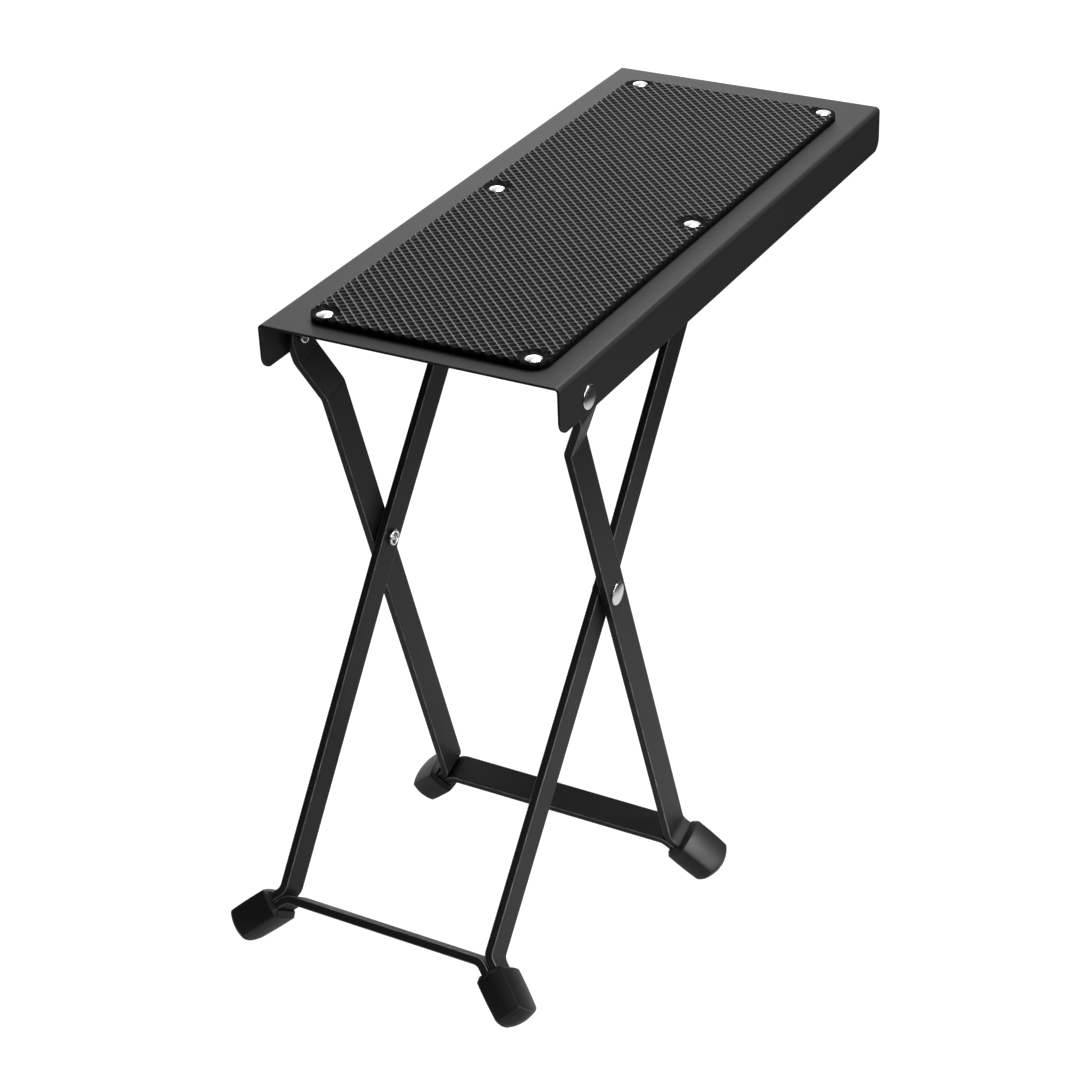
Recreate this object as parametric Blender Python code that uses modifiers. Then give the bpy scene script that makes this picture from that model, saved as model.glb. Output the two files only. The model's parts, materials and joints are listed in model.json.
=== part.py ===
"""Folding guitar footrest with a sheet-steel platform on two crossed U frames of flat bar.

Metres, +Z up. The object stands on Z = 0 with its front (the low end of the platform) towards -Y.
Each body is modelled in the local frame of an empty on its own joint axis:
the two leg frames at the scissor pivot, with Y up the leg and Z square to the frame,
and the platform at its hinge, with Y along the plate and Z square to it.
"""
import math

import bmesh
import bpy
from mathutils import Matrix, Vector

# Running and seating gap between neighbouring solids
GAP = 0.0003
# How far a cutter runs past what it cuts
OVERRUN = 0.002
# Points nearer than this are one point
MERGE_DISTANCE = GAP / 30

# Platform: one folded sheet with two down-turned flanges
PLATE_LENGTH = 0.265
PLATE_WIDTH = 0.1144
PLATE_SHEET = 0.001
PLATE_BEND_RADIUS = 0.0018
FLANGE_HEIGHT = 0.0174
FLANGE_CORNER_RADIUS = 0.005
HINGE_FROM_FRONT_END = 0.0195
HINGE_BELOW_TOP = 0.0117

# Rubber mat on the platform
PAD_THICKNESS = 0.003
PAD_CORNER_RADIUS = 0.006
PAD_FROM_FRONT_END = 0.0077
PAD_FROM_REAR_END = 0.016
PAD_SIDE_MARGIN = 0.01195
PAD_SIDE_SHIFT = 0.0018
PAD_RECESS_RADIUS = 0.0042
PAD_RECESS_DEPTH = 0.0012

# Crossing ribs on the mat, coarser than the moulded ones
RIB_DIAMOND_ACROSS = 0.0128
RIB_DIAMOND_ALONG = 0.01181
RIB_WIDTH = 0.0013
RIB_HEIGHT = 0.0007

# Domed rivets through the mat, three on each side
PAD_RIVET_FROM_FRONT_EDGE = 0.0044
PAD_RIVET_FROM_REAR_EDGE = 0.0033
PAD_RIVET_FROM_SIDE_EDGE = 0.00555
PAD_RIVET_HEAD_RADIUS = 0.0035
PAD_RIVET_HEAD_HEIGHT = 0.0015
PAD_RIVET_SHANK_RADIUS = 0.0015
PAD_RIVET_TAIL_RADIUS = 0.0025
PAD_RIVET_TAIL_HEIGHT = 0.0009

# Flat bar of the leg frames
BAR_WIDTH = 0.012
BAR_THICKNESS = 0.003
BAR_BEND_RADIUS = 0.005
BAR_END_RADIUS = 0.0045

# Leg frames, measured along the leg from the scissor pivot
FRONT_LEG_LEAN = math.radians(27.2)
REAR_LEG_LEAN = math.radians(29.6)
PIVOT_TO_HINGE = 0.0979
PIVOT_TO_ROD = 0.1197
PIVOT_TO_FRONT_CROSSBAR = 0.1375
HINGE_TO_BAR_END = 0.0055
JOG_LOWER_BEND = 0.0735
JOG_UPPER_BEND = 0.0895

# How far the bars' outer faces stand in from the flanges
OUTER_INSET_AT_PIVOT = 0.0064
OUTER_INSET_AT_FOOT = 0.0048
INNER_INSET_AT_ROD = 0.011
INNER_INSET_AT_FOOT = 0.0123
GAP_BETWEEN_FRAMES = 0.0011

# Hairpin ears at the lower corners and the rubber caps on them
EAR_SLIT = 0.0005
EAR_LENGTH = 0.0185
CAP_START = 0.0055
CAP_LENGTH = 0.0182
CAP_WIDTH = 0.012
CAP_DEPTH = 0.0162
CAP_TOE_RADIUS = 0.0035
CAP_RIM_RADIUS = 0.002
CAP_MOUTH_CHAMFER = 0.0014
CAP_FLOOR_FLAT = 0.0005

# Rivets of the platform hinge and of the scissor pivot
RIVET_HEAD_RADIUS = 0.0045
RIVET_HEAD_HEIGHT = 0.0009
RIVET_RIM_HEIGHT = 0.0003
RIVET_SHANK_RADIUS = 0.0025
RIVET_TAIL_RADIUS = 0.0033
RIVET_TAIL_HEIGHT = 0.0012
RIVET_BORE_RADIUS = 0.0013
RIVET_BORE_DEPTH = 0.0035
WASHER_RADIUS = 0.005
WASHER_THICKNESS = 0.0005

# Cross rod between the upper ends of the inner frame
ROD_RADIUS = 0.004
ROD_TENON_RADIUS = 0.0025
ROD_HEAD_RADIUS = 0.0038
ROD_HEAD_HEIGHT = 0.0012

# Notched height rails under the platform
RAIL_SHEET = 0.0015
RAIL_BEND_RADIUS = 0.0022
RAIL_INSIDE_LEG = 0.0102
RAIL_PAST_RIVET = 0.004
RAIL_FROM_REAR_END = 0.0117
RAIL_BEFORE_FIRST_NOTCH = 0.011
RAIL_BEFORE_RIVET = 0.006
NOTCH_COUNT = 5
NOTCH_PITCH = 0.018
NOTCH_DEPTH = 0.003
NOTCH_SIDE_PLAY = 0.0004

# Smoothness of round shapes, in segments
ARC_STEPS_QUARTER = 4
BEND_STEPS_QUARTER = 4
DOME_STEPS = 4
CAP_STEPS = 2
ROUND_SEGMENTS = 20
SMALL_ROUND_SEGMENTS = 12
SHARP_ANGLE = math.radians(35)
FLAT_ANGLE = math.radians(0.5)

# The ears leave the frame's corner half way between leg and crossbar
EAR_ANGLE = math.radians(45)
EAR_HALF_PITCH = (BAR_THICKNESS + EAR_SLIT) / 2

# Half widths to the outer faces of the bars, all set by the platform's width
FLANGE_INNER_HALF = PLATE_WIDTH / 2 - PLATE_SHEET
OUTER_HALF_AT_PIVOT = FLANGE_INNER_HALF - OUTER_INSET_AT_PIVOT
OUTER_HALF_AT_FOOT = FLANGE_INNER_HALF - OUTER_INSET_AT_FOOT
INNER_HALF_AT_PIVOT = OUTER_HALF_AT_PIVOT - BAR_THICKNESS - GAP_BETWEEN_FRAMES
INNER_HALF_AT_ROD = FLANGE_INNER_HALF - INNER_INSET_AT_ROD
INNER_HALF_AT_FOOT = FLANGE_INNER_HALF - INNER_INSET_AT_FOOT
RAIL_WEB_HALF_SPREAD = INNER_HALF_AT_ROD - BAR_THICKNESS - RAIL_INSIDE_LEG

# The ends of the plate and the mat along the platform's own Y
PLATE_FRONT = -HINGE_FROM_FRONT_END
PLATE_REAR = PLATE_FRONT + PLATE_LENGTH
PAD_FRONT = PLATE_FRONT + PAD_FROM_FRONT_END
PAD_REAR = PLATE_REAR - PAD_FROM_REAR_END
PAD_HALF_WIDTH = PLATE_WIDTH / 2 - PAD_SIDE_MARGIN
PAD_RIVET_HALF_SPREAD = PAD_HALF_WIDTH - PAD_RIVET_FROM_SIDE_EDGE
RAIL_OUTER_HALF = PAD_RIVET_HALF_SPREAD + PAD_SIDE_SHIFT + RAIL_PAST_RIVET
SIDES = {"left": -1, "right": 1}


def collection(name):
    """A new collection in the scene."""
    group = bpy.data.collections.new(name)
    bpy.context.scene.collection.children.link(group)
    return group


def material(name, colour, roughness, metallic=0.0):
    """A plain Principled material."""
    mat = bpy.data.materials.new(name)
    mat.use_nodes = True
    shader = mat.node_tree.nodes["Principled BSDF"]
    shader.inputs["Base Color"].default_value = (*colour, 1)
    shader.inputs["Roughness"].default_value = roughness
    shader.inputs["Metallic"].default_value = metallic
    mat.diffuse_color = (*colour, 1)
    return mat


def empty(name, group, location=(0, 0, 0), turn_x=0.0, parent=None):
    """An empty that carries one rigid body of the object."""
    carrier = bpy.data.objects.new(name, None)
    carrier.location = location
    carrier.rotation_euler.x = turn_x
    carrier.parent = parent
    group.objects.link(carrier)
    return carrier


def solid(name, mesh, group, parent, mat=None, location=(0, 0, 0), rotation=(0, 0, 0)):
    """A mesh object that is carried by an empty."""
    obj = bpy.data.objects.new(name, mesh)
    obj.location = location
    obj.rotation_euler = rotation
    obj.parent = parent
    if mat:
        mesh.materials.append(mat)
    group.objects.link(obj)
    return obj


def cut(obj, cutter):
    """Cut one solid out of another."""
    boolean = obj.modifiers.new(cutter.name, "BOOLEAN")
    boolean.operation = "DIFFERENCE"
    boolean.solver = "EXACT"
    boolean.object = cutter
    cutter.hide_render = True
    cutter.display_type = "WIRE"


def smooth_round(mesh):
    """Smooth shading with sharp edges kept sharp."""
    mesh.shade_smooth()
    mesh.set_sharp_from_angle(angle=SHARP_ANGLE)


def with_bends(corners, steps_quarter):
    """Points of a path or outline whose corners (x, y, radius) are rounded with arcs."""
    points = []
    for before, corner, after in zip(corners, corners[1:], corners[2:]):
        here = Vector(corner[:2])
        arriving = (here - Vector(before[:2])).normalized()
        leaving = (Vector(after[:2]) - here).normalized()
        turn = arriving.angle_signed(leaving)
        if not corner[2] or not turn:
            points.append(here)
            continue
        inward = Vector((arriving.y, -arriving.x)) * math.copysign(1, turn)
        start = here - arriving * corner[2] * math.tan(abs(turn) / 2)
        centre = start + inward * corner[2]
        steps = max(1, math.ceil(abs(turn) / (math.pi / 2) * steps_quarter))
        for step in range(steps + 1):
            spoke = plane_turn(-turn * step / steps) @ (-inward * corner[2])
            points.append(centre + spoke)
    return [
        point for i, point in enumerate(points)
        if i == 0 or (point - points[i - 1]).length > MERGE_DISTANCE]


def plane_turn(angle):
    """A rotation in the plane, anticlockwise."""
    return Matrix.Rotation(angle, 2)


def closed_outline(corners, steps_quarter=ARC_STEPS_QUARTER):
    """A closed outline with rounded corners."""
    return with_bends([corners[-1], *corners, corners[0]], steps_quarter)


def bar_outline(corners):
    """The outline of a bar of constant thickness that is bent along a centre line."""
    first = corners[0]
    last = corners[-1]
    line = [Vector(first[:2]), *with_bends(corners, BEND_STEPS_QUARTER), Vector(last[:2])]
    left_side = []
    right_side = []
    for i, point in enumerate(line):
        arriving = (point - line[max(i - 1, 0)]).normalized()
        leaving = (line[min(i + 1, len(line) - 1)] - point).normalized()
        along = (arriving + leaving).normalized()
        mitre = along.dot(leaving if leaving.length else arriving)
        across = Vector((-along.y, along.x)) * BAR_THICKNESS / 2 / mitre
        left_side.append(point + across)
        right_side.append(point - across)
    return left_side + right_side[::-1]


def extruded(name, outline, thickness):
    """A mesh of a flat outline in XY with half its thickness on each side of the plane."""
    curve = bpy.data.curves.new(name, "CURVE")
    curve.dimensions = "2D"
    curve.fill_mode = "BOTH"
    curve.extrude = thickness / 2
    spline = curve.splines.new("POLY")
    spline.points.add(len(outline) - 1)
    for point, (x, y) in zip(spline.points, outline):
        point.co = (x, y, 0, 1)
    spline.use_cyclic_u = True
    guide = bpy.data.objects.new(name, curve)
    bpy.context.scene.collection.objects.link(guide)
    bpy.context.view_layer.update()
    depsgraph = bpy.context.evaluated_depsgraph_get()
    mesh = bpy.data.meshes.new_from_object(guide.evaluated_get(depsgraph))
    bpy.data.objects.remove(guide)
    bpy.data.curves.remove(curve)
    bm = bmesh.new()
    bm.from_mesh(mesh)
    bmesh.ops.remove_doubles(bm, verts=bm.verts, dist=MERGE_DISTANCE)
    bmesh.ops.dissolve_limit(bm, angle_limit=FLAT_ANGLE, verts=bm.verts, edges=bm.edges)
    bmesh.ops.recalc_face_normals(bm, faces=bm.faces)
    bm.to_mesh(mesh)
    bm.free()
    mesh.name = name
    return mesh


def block(name, size, centre):
    """A box mesh."""
    bm = bmesh.new()
    bmesh.ops.create_cube(bm, size=1)
    bmesh.ops.scale(bm, vec=size, verts=bm.verts)
    bmesh.ops.translate(bm, vec=centre, verts=bm.verts)
    mesh = bpy.data.meshes.new(name)
    bm.to_mesh(mesh)
    bm.free()
    return mesh


def rod_mesh(name, radius, length, segments=ROUND_SEGMENTS):
    """A cylinder mesh along Z, centred."""
    bm = bmesh.new()
    bmesh.ops.create_cone(
        bm, cap_ends=True, segments=segments, radius1=radius, radius2=radius, depth=length)
    mesh = bpy.data.meshes.new(name)
    bm.to_mesh(mesh)
    bm.free()
    return mesh


def turned(name, profile, group, parent, mat, location, rotation, segments=ROUND_SEGMENTS):
    """A turned solid. The profile lists (radius, height) from the top down."""
    mesh = bpy.data.meshes.new(name)
    verts = [(radius, 0, height) for radius, height in profile]
    mesh.from_pydata(verts, [(i, i + 1) for i in range(len(verts) - 1)], [])
    obj = solid(name, mesh, group, parent, mat, location, rotation)
    screw = obj.modifiers.new("turn", "SCREW")
    screw.steps = segments
    screw.render_steps = segments
    screw.use_merge_vertices = True
    screw.merge_threshold = MERGE_DISTANCE
    screw.use_smooth_shade = True
    return obj


def dome(radius, height, rim):
    """Profile points of a domed head, crown first, down to its rim."""
    points = [(0, height)]
    for step in range(1, DOME_STEPS + 1):
        angle = math.pi / 2 * step / DOME_STEPS
        points.append((radius * math.sin(angle), rim + (height - rim) * math.cos(angle)))
    return points


def bevel_where(mesh, chosen, radius, steps=ARC_STEPS_QUARTER):
    """Round the edges that a test on an edge's two ends picks out."""
    bm = bmesh.new()
    bm.from_mesh(mesh)
    edges = [edge for edge in bm.edges if chosen(*(vert.co for vert in edge.verts))]
    bmesh.ops.bevel(
        bm, geom=edges, offset=radius, segments=steps, profile=0.5, affect="EDGES")
    bm.to_mesh(mesh)
    bm.free()


def round_bar_ends(mesh, end_height):
    """Round the corners of the two upper ends of a leg frame."""
    def corner(a, b):
        return abs(a.z - b.z) < MERGE_DISTANCE and min(a.y, b.y) > end_height - MERGE_DISTANCE

    bevel_where(mesh, corner, BAR_END_RADIUS)


class Ear:
    """The hairpin ear at a frame's lower corner: where its middle line starts, on the right."""

    def __init__(self, half_width, crossbar):
        offset = EAR_HALF_PITCH * math.sin(EAR_ANGLE)
        self.leg_x = half_width - BAR_THICKNESS / 2
        self.crossbar_y = -crossbar + BAR_THICKNESS / 2
        self.start = Vector((self.leg_x - offset, self.crossbar_y + offset))
        self.along = Vector((math.sin(EAR_ANGLE), -math.cos(EAR_ANGLE)))
        self.across = Vector((math.cos(EAR_ANGLE), math.sin(EAR_ANGLE))) * EAR_HALF_PITCH

    def corners(self):
        """Centre line of the bar from the leg round the hairpin to the crossbar."""
        tip = self.start + self.along * (EAR_LENGTH - BAR_THICKNESS / 2)
        return [
            (self.leg_x, self.start.y + self.across.y, BAR_BEND_RADIUS),
            (*(tip + self.across), EAR_HALF_PITCH),
            (*(tip - self.across), EAR_HALF_PITCH),
            (self.start.x - self.across.x, self.crossbar_y, BAR_BEND_RADIUS),
        ]


def frame_mesh(name, upper_corners, ear):
    """A U frame of flat bar from the right leg's upper corners, mirrored to the left."""
    right = [*upper_corners, *ear.corners()]
    left = [(-x, y, radius) for x, y, radius in reversed(right)]
    mesh = extruded(name, bar_outline(right + left), BAR_WIDTH)
    round_bar_ends(mesh, upper_corners[0][1])
    return mesh


def cap_mesh():
    """The outside of a rubber foot cap, with its mouth at Y = 0 and its toe at +Y."""
    half = CAP_WIDTH / 2
    corners = [
        (-half, 0, 0), (half, 0, 0), (half, CAP_LENGTH, CAP_TOE_RADIUS),
        (-half, CAP_LENGTH, CAP_TOE_RADIUS)]
    mesh = extruded("foot_cap", closed_outline(corners), CAP_DEPTH)

    def rim(a, b):
        same_side = abs(a.z - b.z) < MERGE_DISTANCE
        return same_side and max(a.y, b.y) > MERGE_DISTANCE

    def mouth(a, b):
        return max(a.y, b.y) < MERGE_DISTANCE

    bevel_where(mesh, rim, CAP_RIM_RADIUS, CAP_STEPS)
    bevel_where(mesh, mouth, CAP_MOUTH_CHAMFER, 1)
    return mesh


def cap_turn(side):
    """The turn in the frame's plane that points a cap's toe along the ear."""
    return -side * (math.pi - EAR_ANGLE)


def drop_below_ear(lean):
    """How far a cap on a leg of this lean reaches below the start of its ear."""
    mesh = cap_mesh()
    turn = plane_turn(cap_turn(1))
    start = Vector((0, CAP_START))
    drops = []
    for vert in mesh.vertices:
        in_frame = turn @ (start + Vector(vert.co.xy))
        drops.append(-in_frame.y * math.cos(lean) + abs(vert.co.z) * math.sin(lean))
    bpy.data.meshes.remove(mesh)
    return max(drops)


class Layout:
    """Where the joints and the feet are, from the driving dimensions."""

    def __init__(self):
        front_ear = Ear(INNER_HALF_AT_FOOT, PIVOT_TO_FRONT_CROSSBAR)
        front_drop = drop_below_ear(FRONT_LEG_LEAN)
        rear_drop = drop_below_ear(REAR_LEG_LEAN)
        self.pivot_z = -front_ear.start.y * math.cos(FRONT_LEG_LEAN) + front_drop - CAP_FLOOR_FLAT
        ear_below_crossbar = Ear(OUTER_HALF_AT_FOOT, 0).start.y
        rear_ear_distance = (self.pivot_z + CAP_FLOOR_FLAT - rear_drop) / math.cos(REAR_LEG_LEAN)
        self.pivot_to_rear_crossbar = rear_ear_distance + ear_below_crossbar
        self.hinge = PIVOT_TO_HINGE * Vector((0, -math.sin(REAR_LEG_LEAN), math.cos(REAR_LEG_LEAN)))
        self.rod = PIVOT_TO_ROD * Vector((0, math.sin(FRONT_LEG_LEAN), math.cos(FRONT_LEG_LEAN)))
        reach = self.rod - self.hinge
        self.hinge_to_rod = reach.length
        self.tilt = math.atan2(reach.z, reach.y)


def build_outer_frame(layout, group, cutters, carrier, mats):
    """The outer U frame: feet at the rear, hung on the platform's flanges at the front."""
    ear = Ear(OUTER_HALF_AT_FOOT, layout.pivot_to_rear_crossbar)
    slope = (OUTER_HALF_AT_FOOT - OUTER_HALF_AT_PIVOT) / layout.pivot_to_rear_crossbar
    middle_at_pivot = OUTER_HALF_AT_PIVOT - BAR_THICKNESS / 2
    top_x = FLANGE_INNER_HALF - GAP - BAR_THICKNESS / 2
    upper = [
        (top_x, PIVOT_TO_HINGE + HINGE_TO_BAR_END, 0),
        (top_x, JOG_UPPER_BEND, BAR_BEND_RADIUS),
        (middle_at_pivot - slope * JOG_LOWER_BEND, JOG_LOWER_BEND, BAR_BEND_RADIUS),
    ]
    mesh = frame_mesh("outer_frame", upper, ear)
    frame = solid("outer_frame", mesh, group, carrier, mats["bar"])
    for place in (PIVOT_TO_HINGE, 0):
        cross_hole(frame, place, RIVET_SHANK_RADIUS + GAP, cutters, carrier)
    smooth_round(mesh)
    add_caps("rear", ear, group, cutters, carrier, mats)
    return frame


def build_inner_frame(group, cutters, carrier, mats):
    """The inner U frame: feet at the front, the platform's cross rod at its upper end."""
    ear = Ear(INNER_HALF_AT_FOOT, PIVOT_TO_FRONT_CROSSBAR)
    upper = [
        (INNER_HALF_AT_ROD - BAR_THICKNESS / 2, PIVOT_TO_ROD + HINGE_TO_BAR_END, 0),
        (INNER_HALF_AT_PIVOT - BAR_THICKNESS / 2, 0, 0),
    ]
    mesh = frame_mesh("inner_frame", upper, ear)
    frame = solid("inner_frame", mesh, group, carrier, mats["bar"])
    cross_hole(frame, PIVOT_TO_ROD, ROD_TENON_RADIUS + GAP, cutters, carrier)
    cross_hole(frame, 0, RIVET_SHANK_RADIUS + GAP, cutters, carrier)
    smooth_round(mesh)
    add_caps("front", ear, group, cutters, carrier, mats)
    return frame


def cross_hole(obj, place, radius, cutters, carrier):
    """A hole across both legs of a frame, or both flanges, at a place along local Y."""
    mesh = rod_mesh("cross_hole", radius, PLATE_WIDTH + 2 * OVERRUN)
    cutter = solid("cross_hole", mesh, cutters, carrier, None, (0, place, 0), (0, math.pi / 2, 0))
    cut(obj, cutter)


def add_caps(end, ear, group, cutters, carrier, mats):
    """The two rubber caps on a frame's ears."""
    pocket_width = 2 * EAR_HALF_PITCH + BAR_THICKNESS + 2 * GAP
    pocket_length = EAR_LENGTH - CAP_START + GAP
    floor = bpy.data.objects["floor_level"]
    for side_name, side in SIDES.items():
        start = ear.start + ear.along * CAP_START
        location = (side * start.x, start.y, 0)
        rotation = (0, 0, cap_turn(side))
        name = f"foot_cap_{end}_{side_name}"
        mesh = cap_mesh()
        smooth_round(mesh)
        cap = solid(name, mesh, group, carrier, mats["rubber"], location, rotation)
        pocket = block(
            name + "_pocket", (pocket_width, pocket_length + OVERRUN, BAR_WIDTH + 2 * GAP),
            (0, (pocket_length - OVERRUN) / 2, 0))
        cut(cap, solid(name + "_pocket", pocket, cutters, carrier, None, location, rotation))
        cut(cap, floor)


def build_platform(group, cutters, carrier, mats):
    """The folded sheet with its flanges, rounded flange corners and rivet holes."""
    half = PLATE_WIDTH / 2
    top = HINGE_BELOW_TOP
    foot = top - FLANGE_HEIGHT
    inner_bend = PLATE_BEND_RADIUS - PLATE_SHEET
    section = [
        (-half, foot, 0),
        (-FLANGE_INNER_HALF, foot, 0),
        (-FLANGE_INNER_HALF, top - PLATE_SHEET, inner_bend),
        (FLANGE_INNER_HALF, top - PLATE_SHEET, inner_bend),
        (FLANGE_INNER_HALF, foot, 0),
        (half, foot, 0),
        (half, top, PLATE_BEND_RADIUS),
        (-half, top, PLATE_BEND_RADIUS),
    ]
    mesh = extruded("platform", closed_outline(section), PLATE_LENGTH)
    stand_up(mesh, (PLATE_FRONT + PLATE_REAR) / 2)

    def flange_corner(a, b):
        crosswise = abs(a.y - b.y) < MERGE_DISTANCE
        return crosswise and max(a.z, b.z) < foot + MERGE_DISTANCE

    bevel_where(mesh, flange_corner, FLANGE_CORNER_RADIUS)
    platform = solid("platform", mesh, group, carrier, mats["plate"])
    cross_hole(platform, 0, RIVET_SHANK_RADIUS + GAP, cutters, carrier)
    for name, x, y in pad_rivet_places():
        rivet_hole(platform, name + "_hole", 4 * PLATE_SHEET, (x, y, top), cutters, carrier)
    smooth_round(mesh)


def stand_up(mesh, middle_y):
    """Turn a section drawn in XY and extruded along Z so that it runs along Y."""
    for vert in mesh.vertices:
        x, y, z = vert.co
        vert.co = (x, middle_y - z, y)
    mesh.update()


def pad_rivet_places():
    """Name, X and Y of each mat rivet in the platform's frame."""
    front = PAD_FRONT + PAD_RIVET_FROM_FRONT_EDGE
    rear = PAD_REAR - PAD_RIVET_FROM_REAR_EDGE
    for row_name, y in (("front", front), ("middle", (front + rear) / 2), ("rear", rear)):
        for side_name, side in SIDES.items():
            x = PAD_SIDE_SHIFT + side * PAD_RIVET_HALF_SPREAD
            yield f"pad_rivet_{row_name}_{side_name}", x, y


def rivet_hole(obj, name, length, place, cutters, carrier):
    """A hole for a mat rivet's shank, square to the plate."""
    mesh = rod_mesh(name, PAD_RIVET_SHANK_RADIUS + GAP, length, SMALL_ROUND_SEGMENTS)
    cut(obj, solid(name, mesh, cutters, carrier, None, place))


def build_pad(group, cutters, carrier, mats):
    """The ribbed rubber mat with a shallow round recess and a hole at each rivet."""
    radius = PAD_CORNER_RADIUS
    left = PAD_SIDE_SHIFT - PAD_HALF_WIDTH
    right = PAD_SIDE_SHIFT + PAD_HALF_WIDTH
    corners = [
        (left, PAD_FRONT, radius), (right, PAD_FRONT, radius), (right, PAD_REAR, radius),
        (left, PAD_REAR, radius)]
    mesh = extruded("rubber_pad", closed_outline(corners), PAD_THICKNESS)
    bottom = HINGE_BELOW_TOP + GAP
    middle_z = bottom + PAD_THICKNESS / 2
    pad = solid("rubber_pad", mesh, group, carrier, mats["rubber"], (0, 0, middle_z))
    cut_pockets(pad, bottom + PAD_THICKNESS, cutters, carrier)
    for name, x, y in pad_rivet_places():
        place = (x, y, middle_z)
        rivet_hole(pad, name + "_mat_hole", 2 * PAD_THICKNESS, place, cutters, carrier)
        recess = rod_mesh(name + "_recess", PAD_RECESS_RADIUS, 2 * PAD_RECESS_DEPTH)
        recess_z = bottom + PAD_THICKNESS
        cut(pad, solid(name + "_recess", recess, cutters, carrier, None, (x, y, recess_z)))
    smooth_round(mesh)


def pocket_mesh():
    """The diamond pocket between four ribs, narrower at its floor, with the mat's top at Z = 0."""
    half_across = RIB_DIAMOND_ACROSS / 2
    half_along = RIB_DIAMOND_ALONG / 2
    to_rib = half_across * half_along / math.hypot(half_across, half_along)
    floor_share = 1 - (RIB_WIDTH / 2 + RIB_HEIGHT) / to_rib
    above = RIB_WIDTH / 4
    above_share = 1 - (RIB_WIDTH / 2 - above) / to_rib
    bm = bmesh.new()
    bmesh.ops.create_cone(
        bm, cap_ends=True, segments=4, radius1=floor_share, radius2=above_share,
        depth=RIB_HEIGHT + above)
    bmesh.ops.scale(bm, vec=(half_across, half_along, 1), verts=bm.verts)
    bmesh.ops.translate(bm, vec=(0, 0, (above - RIB_HEIGHT) / 2), verts=bm.verts)
    mesh = bpy.data.meshes.new("pocket")
    bm.to_mesh(mesh)
    bm.free()
    return mesh


def cut_pockets(pad, top, cutters, carrier):
    """Cut the pockets in two grids, so that two ribs cross in the middle of the mat."""
    columns = math.ceil(PAD_HALF_WIDTH / RIB_DIAMOND_ACROSS)
    rows = math.ceil((PAD_REAR - PAD_FRONT) / 2 / RIB_DIAMOND_ALONG)
    middle = Vector((PAD_SIDE_SHIFT, (PAD_FRONT + PAD_REAR) / 2, top))
    for name, columns_off, rows_off in (("side_pockets", 0.5, 0), ("end_pockets", 0, 0.5)):
        counts = (2 * (columns + columns_off) + 1, 2 * (rows + rows_off) + 1)
        first = Vector((
            (columns + columns_off) * RIB_DIAMOND_ACROSS, (rows + rows_off) * RIB_DIAMOND_ALONG, 0))
        cutter = solid(name, pocket_mesh(), cutters, carrier, None, middle - first)
        for count, pitch in zip(counts, ((RIB_DIAMOND_ACROSS, 0, 0), (0, RIB_DIAMOND_ALONG, 0))):
            array = cutter.modifiers.new("repeat", "ARRAY")
            array.use_relative_offset = False
            array.use_constant_offset = True
            array.constant_offset_displace = pitch
            array.count = round(count)
        cut(pad, cutter)


def build_pad_rivets(group, carrier, mats):
    """Six domed rivets. The middle and rear ones also hold the height rails."""
    seat = HINGE_BELOW_TOP + GAP + PAD_THICKNESS - PAD_RECESS_DEPTH + GAP
    for name, x, y in pad_rivet_places():
        under = HINGE_BELOW_TOP - PLATE_SHEET - GAP
        if "front" not in name:
            under -= RAIL_SHEET + GAP
        profile = [
            *dome(PAD_RIVET_HEAD_RADIUS, PAD_RIVET_HEAD_HEIGHT, 0),
            (PAD_RIVET_SHANK_RADIUS, 0),
            (PAD_RIVET_SHANK_RADIUS, under - seat),
            (PAD_RIVET_TAIL_RADIUS, under - seat),
            (PAD_RIVET_TAIL_RADIUS, under - seat - PAD_RIVET_TAIL_HEIGHT),
            (0, under - seat - PAD_RIVET_TAIL_HEIGHT),
        ]
        turned(
            name, profile, group, carrier, mats["rivet"], (x, y, seat), (0, 0, 0),
            SMALL_ROUND_SEGMENTS)


def build_side_rivet(name, side, head_seat, tail_seat, place, group, carrier, mats):
    """A tubular rivet with a domed head outside and a rolled tail inside, along X."""
    length = head_seat - tail_seat
    end = -length - RIVET_TAIL_HEIGHT
    profile = [
        *dome(RIVET_HEAD_RADIUS, RIVET_HEAD_HEIGHT, RIVET_RIM_HEIGHT),
        (RIVET_HEAD_RADIUS, 0),
        (RIVET_SHANK_RADIUS, 0),
        (RIVET_SHANK_RADIUS, -length),
        (RIVET_TAIL_RADIUS, -length),
        (RIVET_TAIL_RADIUS, -length - RIVET_TAIL_HEIGHT / 2),
        ((RIVET_TAIL_RADIUS + RIVET_BORE_RADIUS) / 2, end),
        (RIVET_BORE_RADIUS, end + RIVET_TAIL_HEIGHT / 2),
        (RIVET_BORE_RADIUS, end + RIVET_BORE_DEPTH),
        (0, end + RIVET_BORE_DEPTH),
    ]
    turned(
        name, profile, group, carrier, mats["rivet"], (side * head_seat, place, 0),
        (0, side * math.pi / 2, 0))


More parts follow.
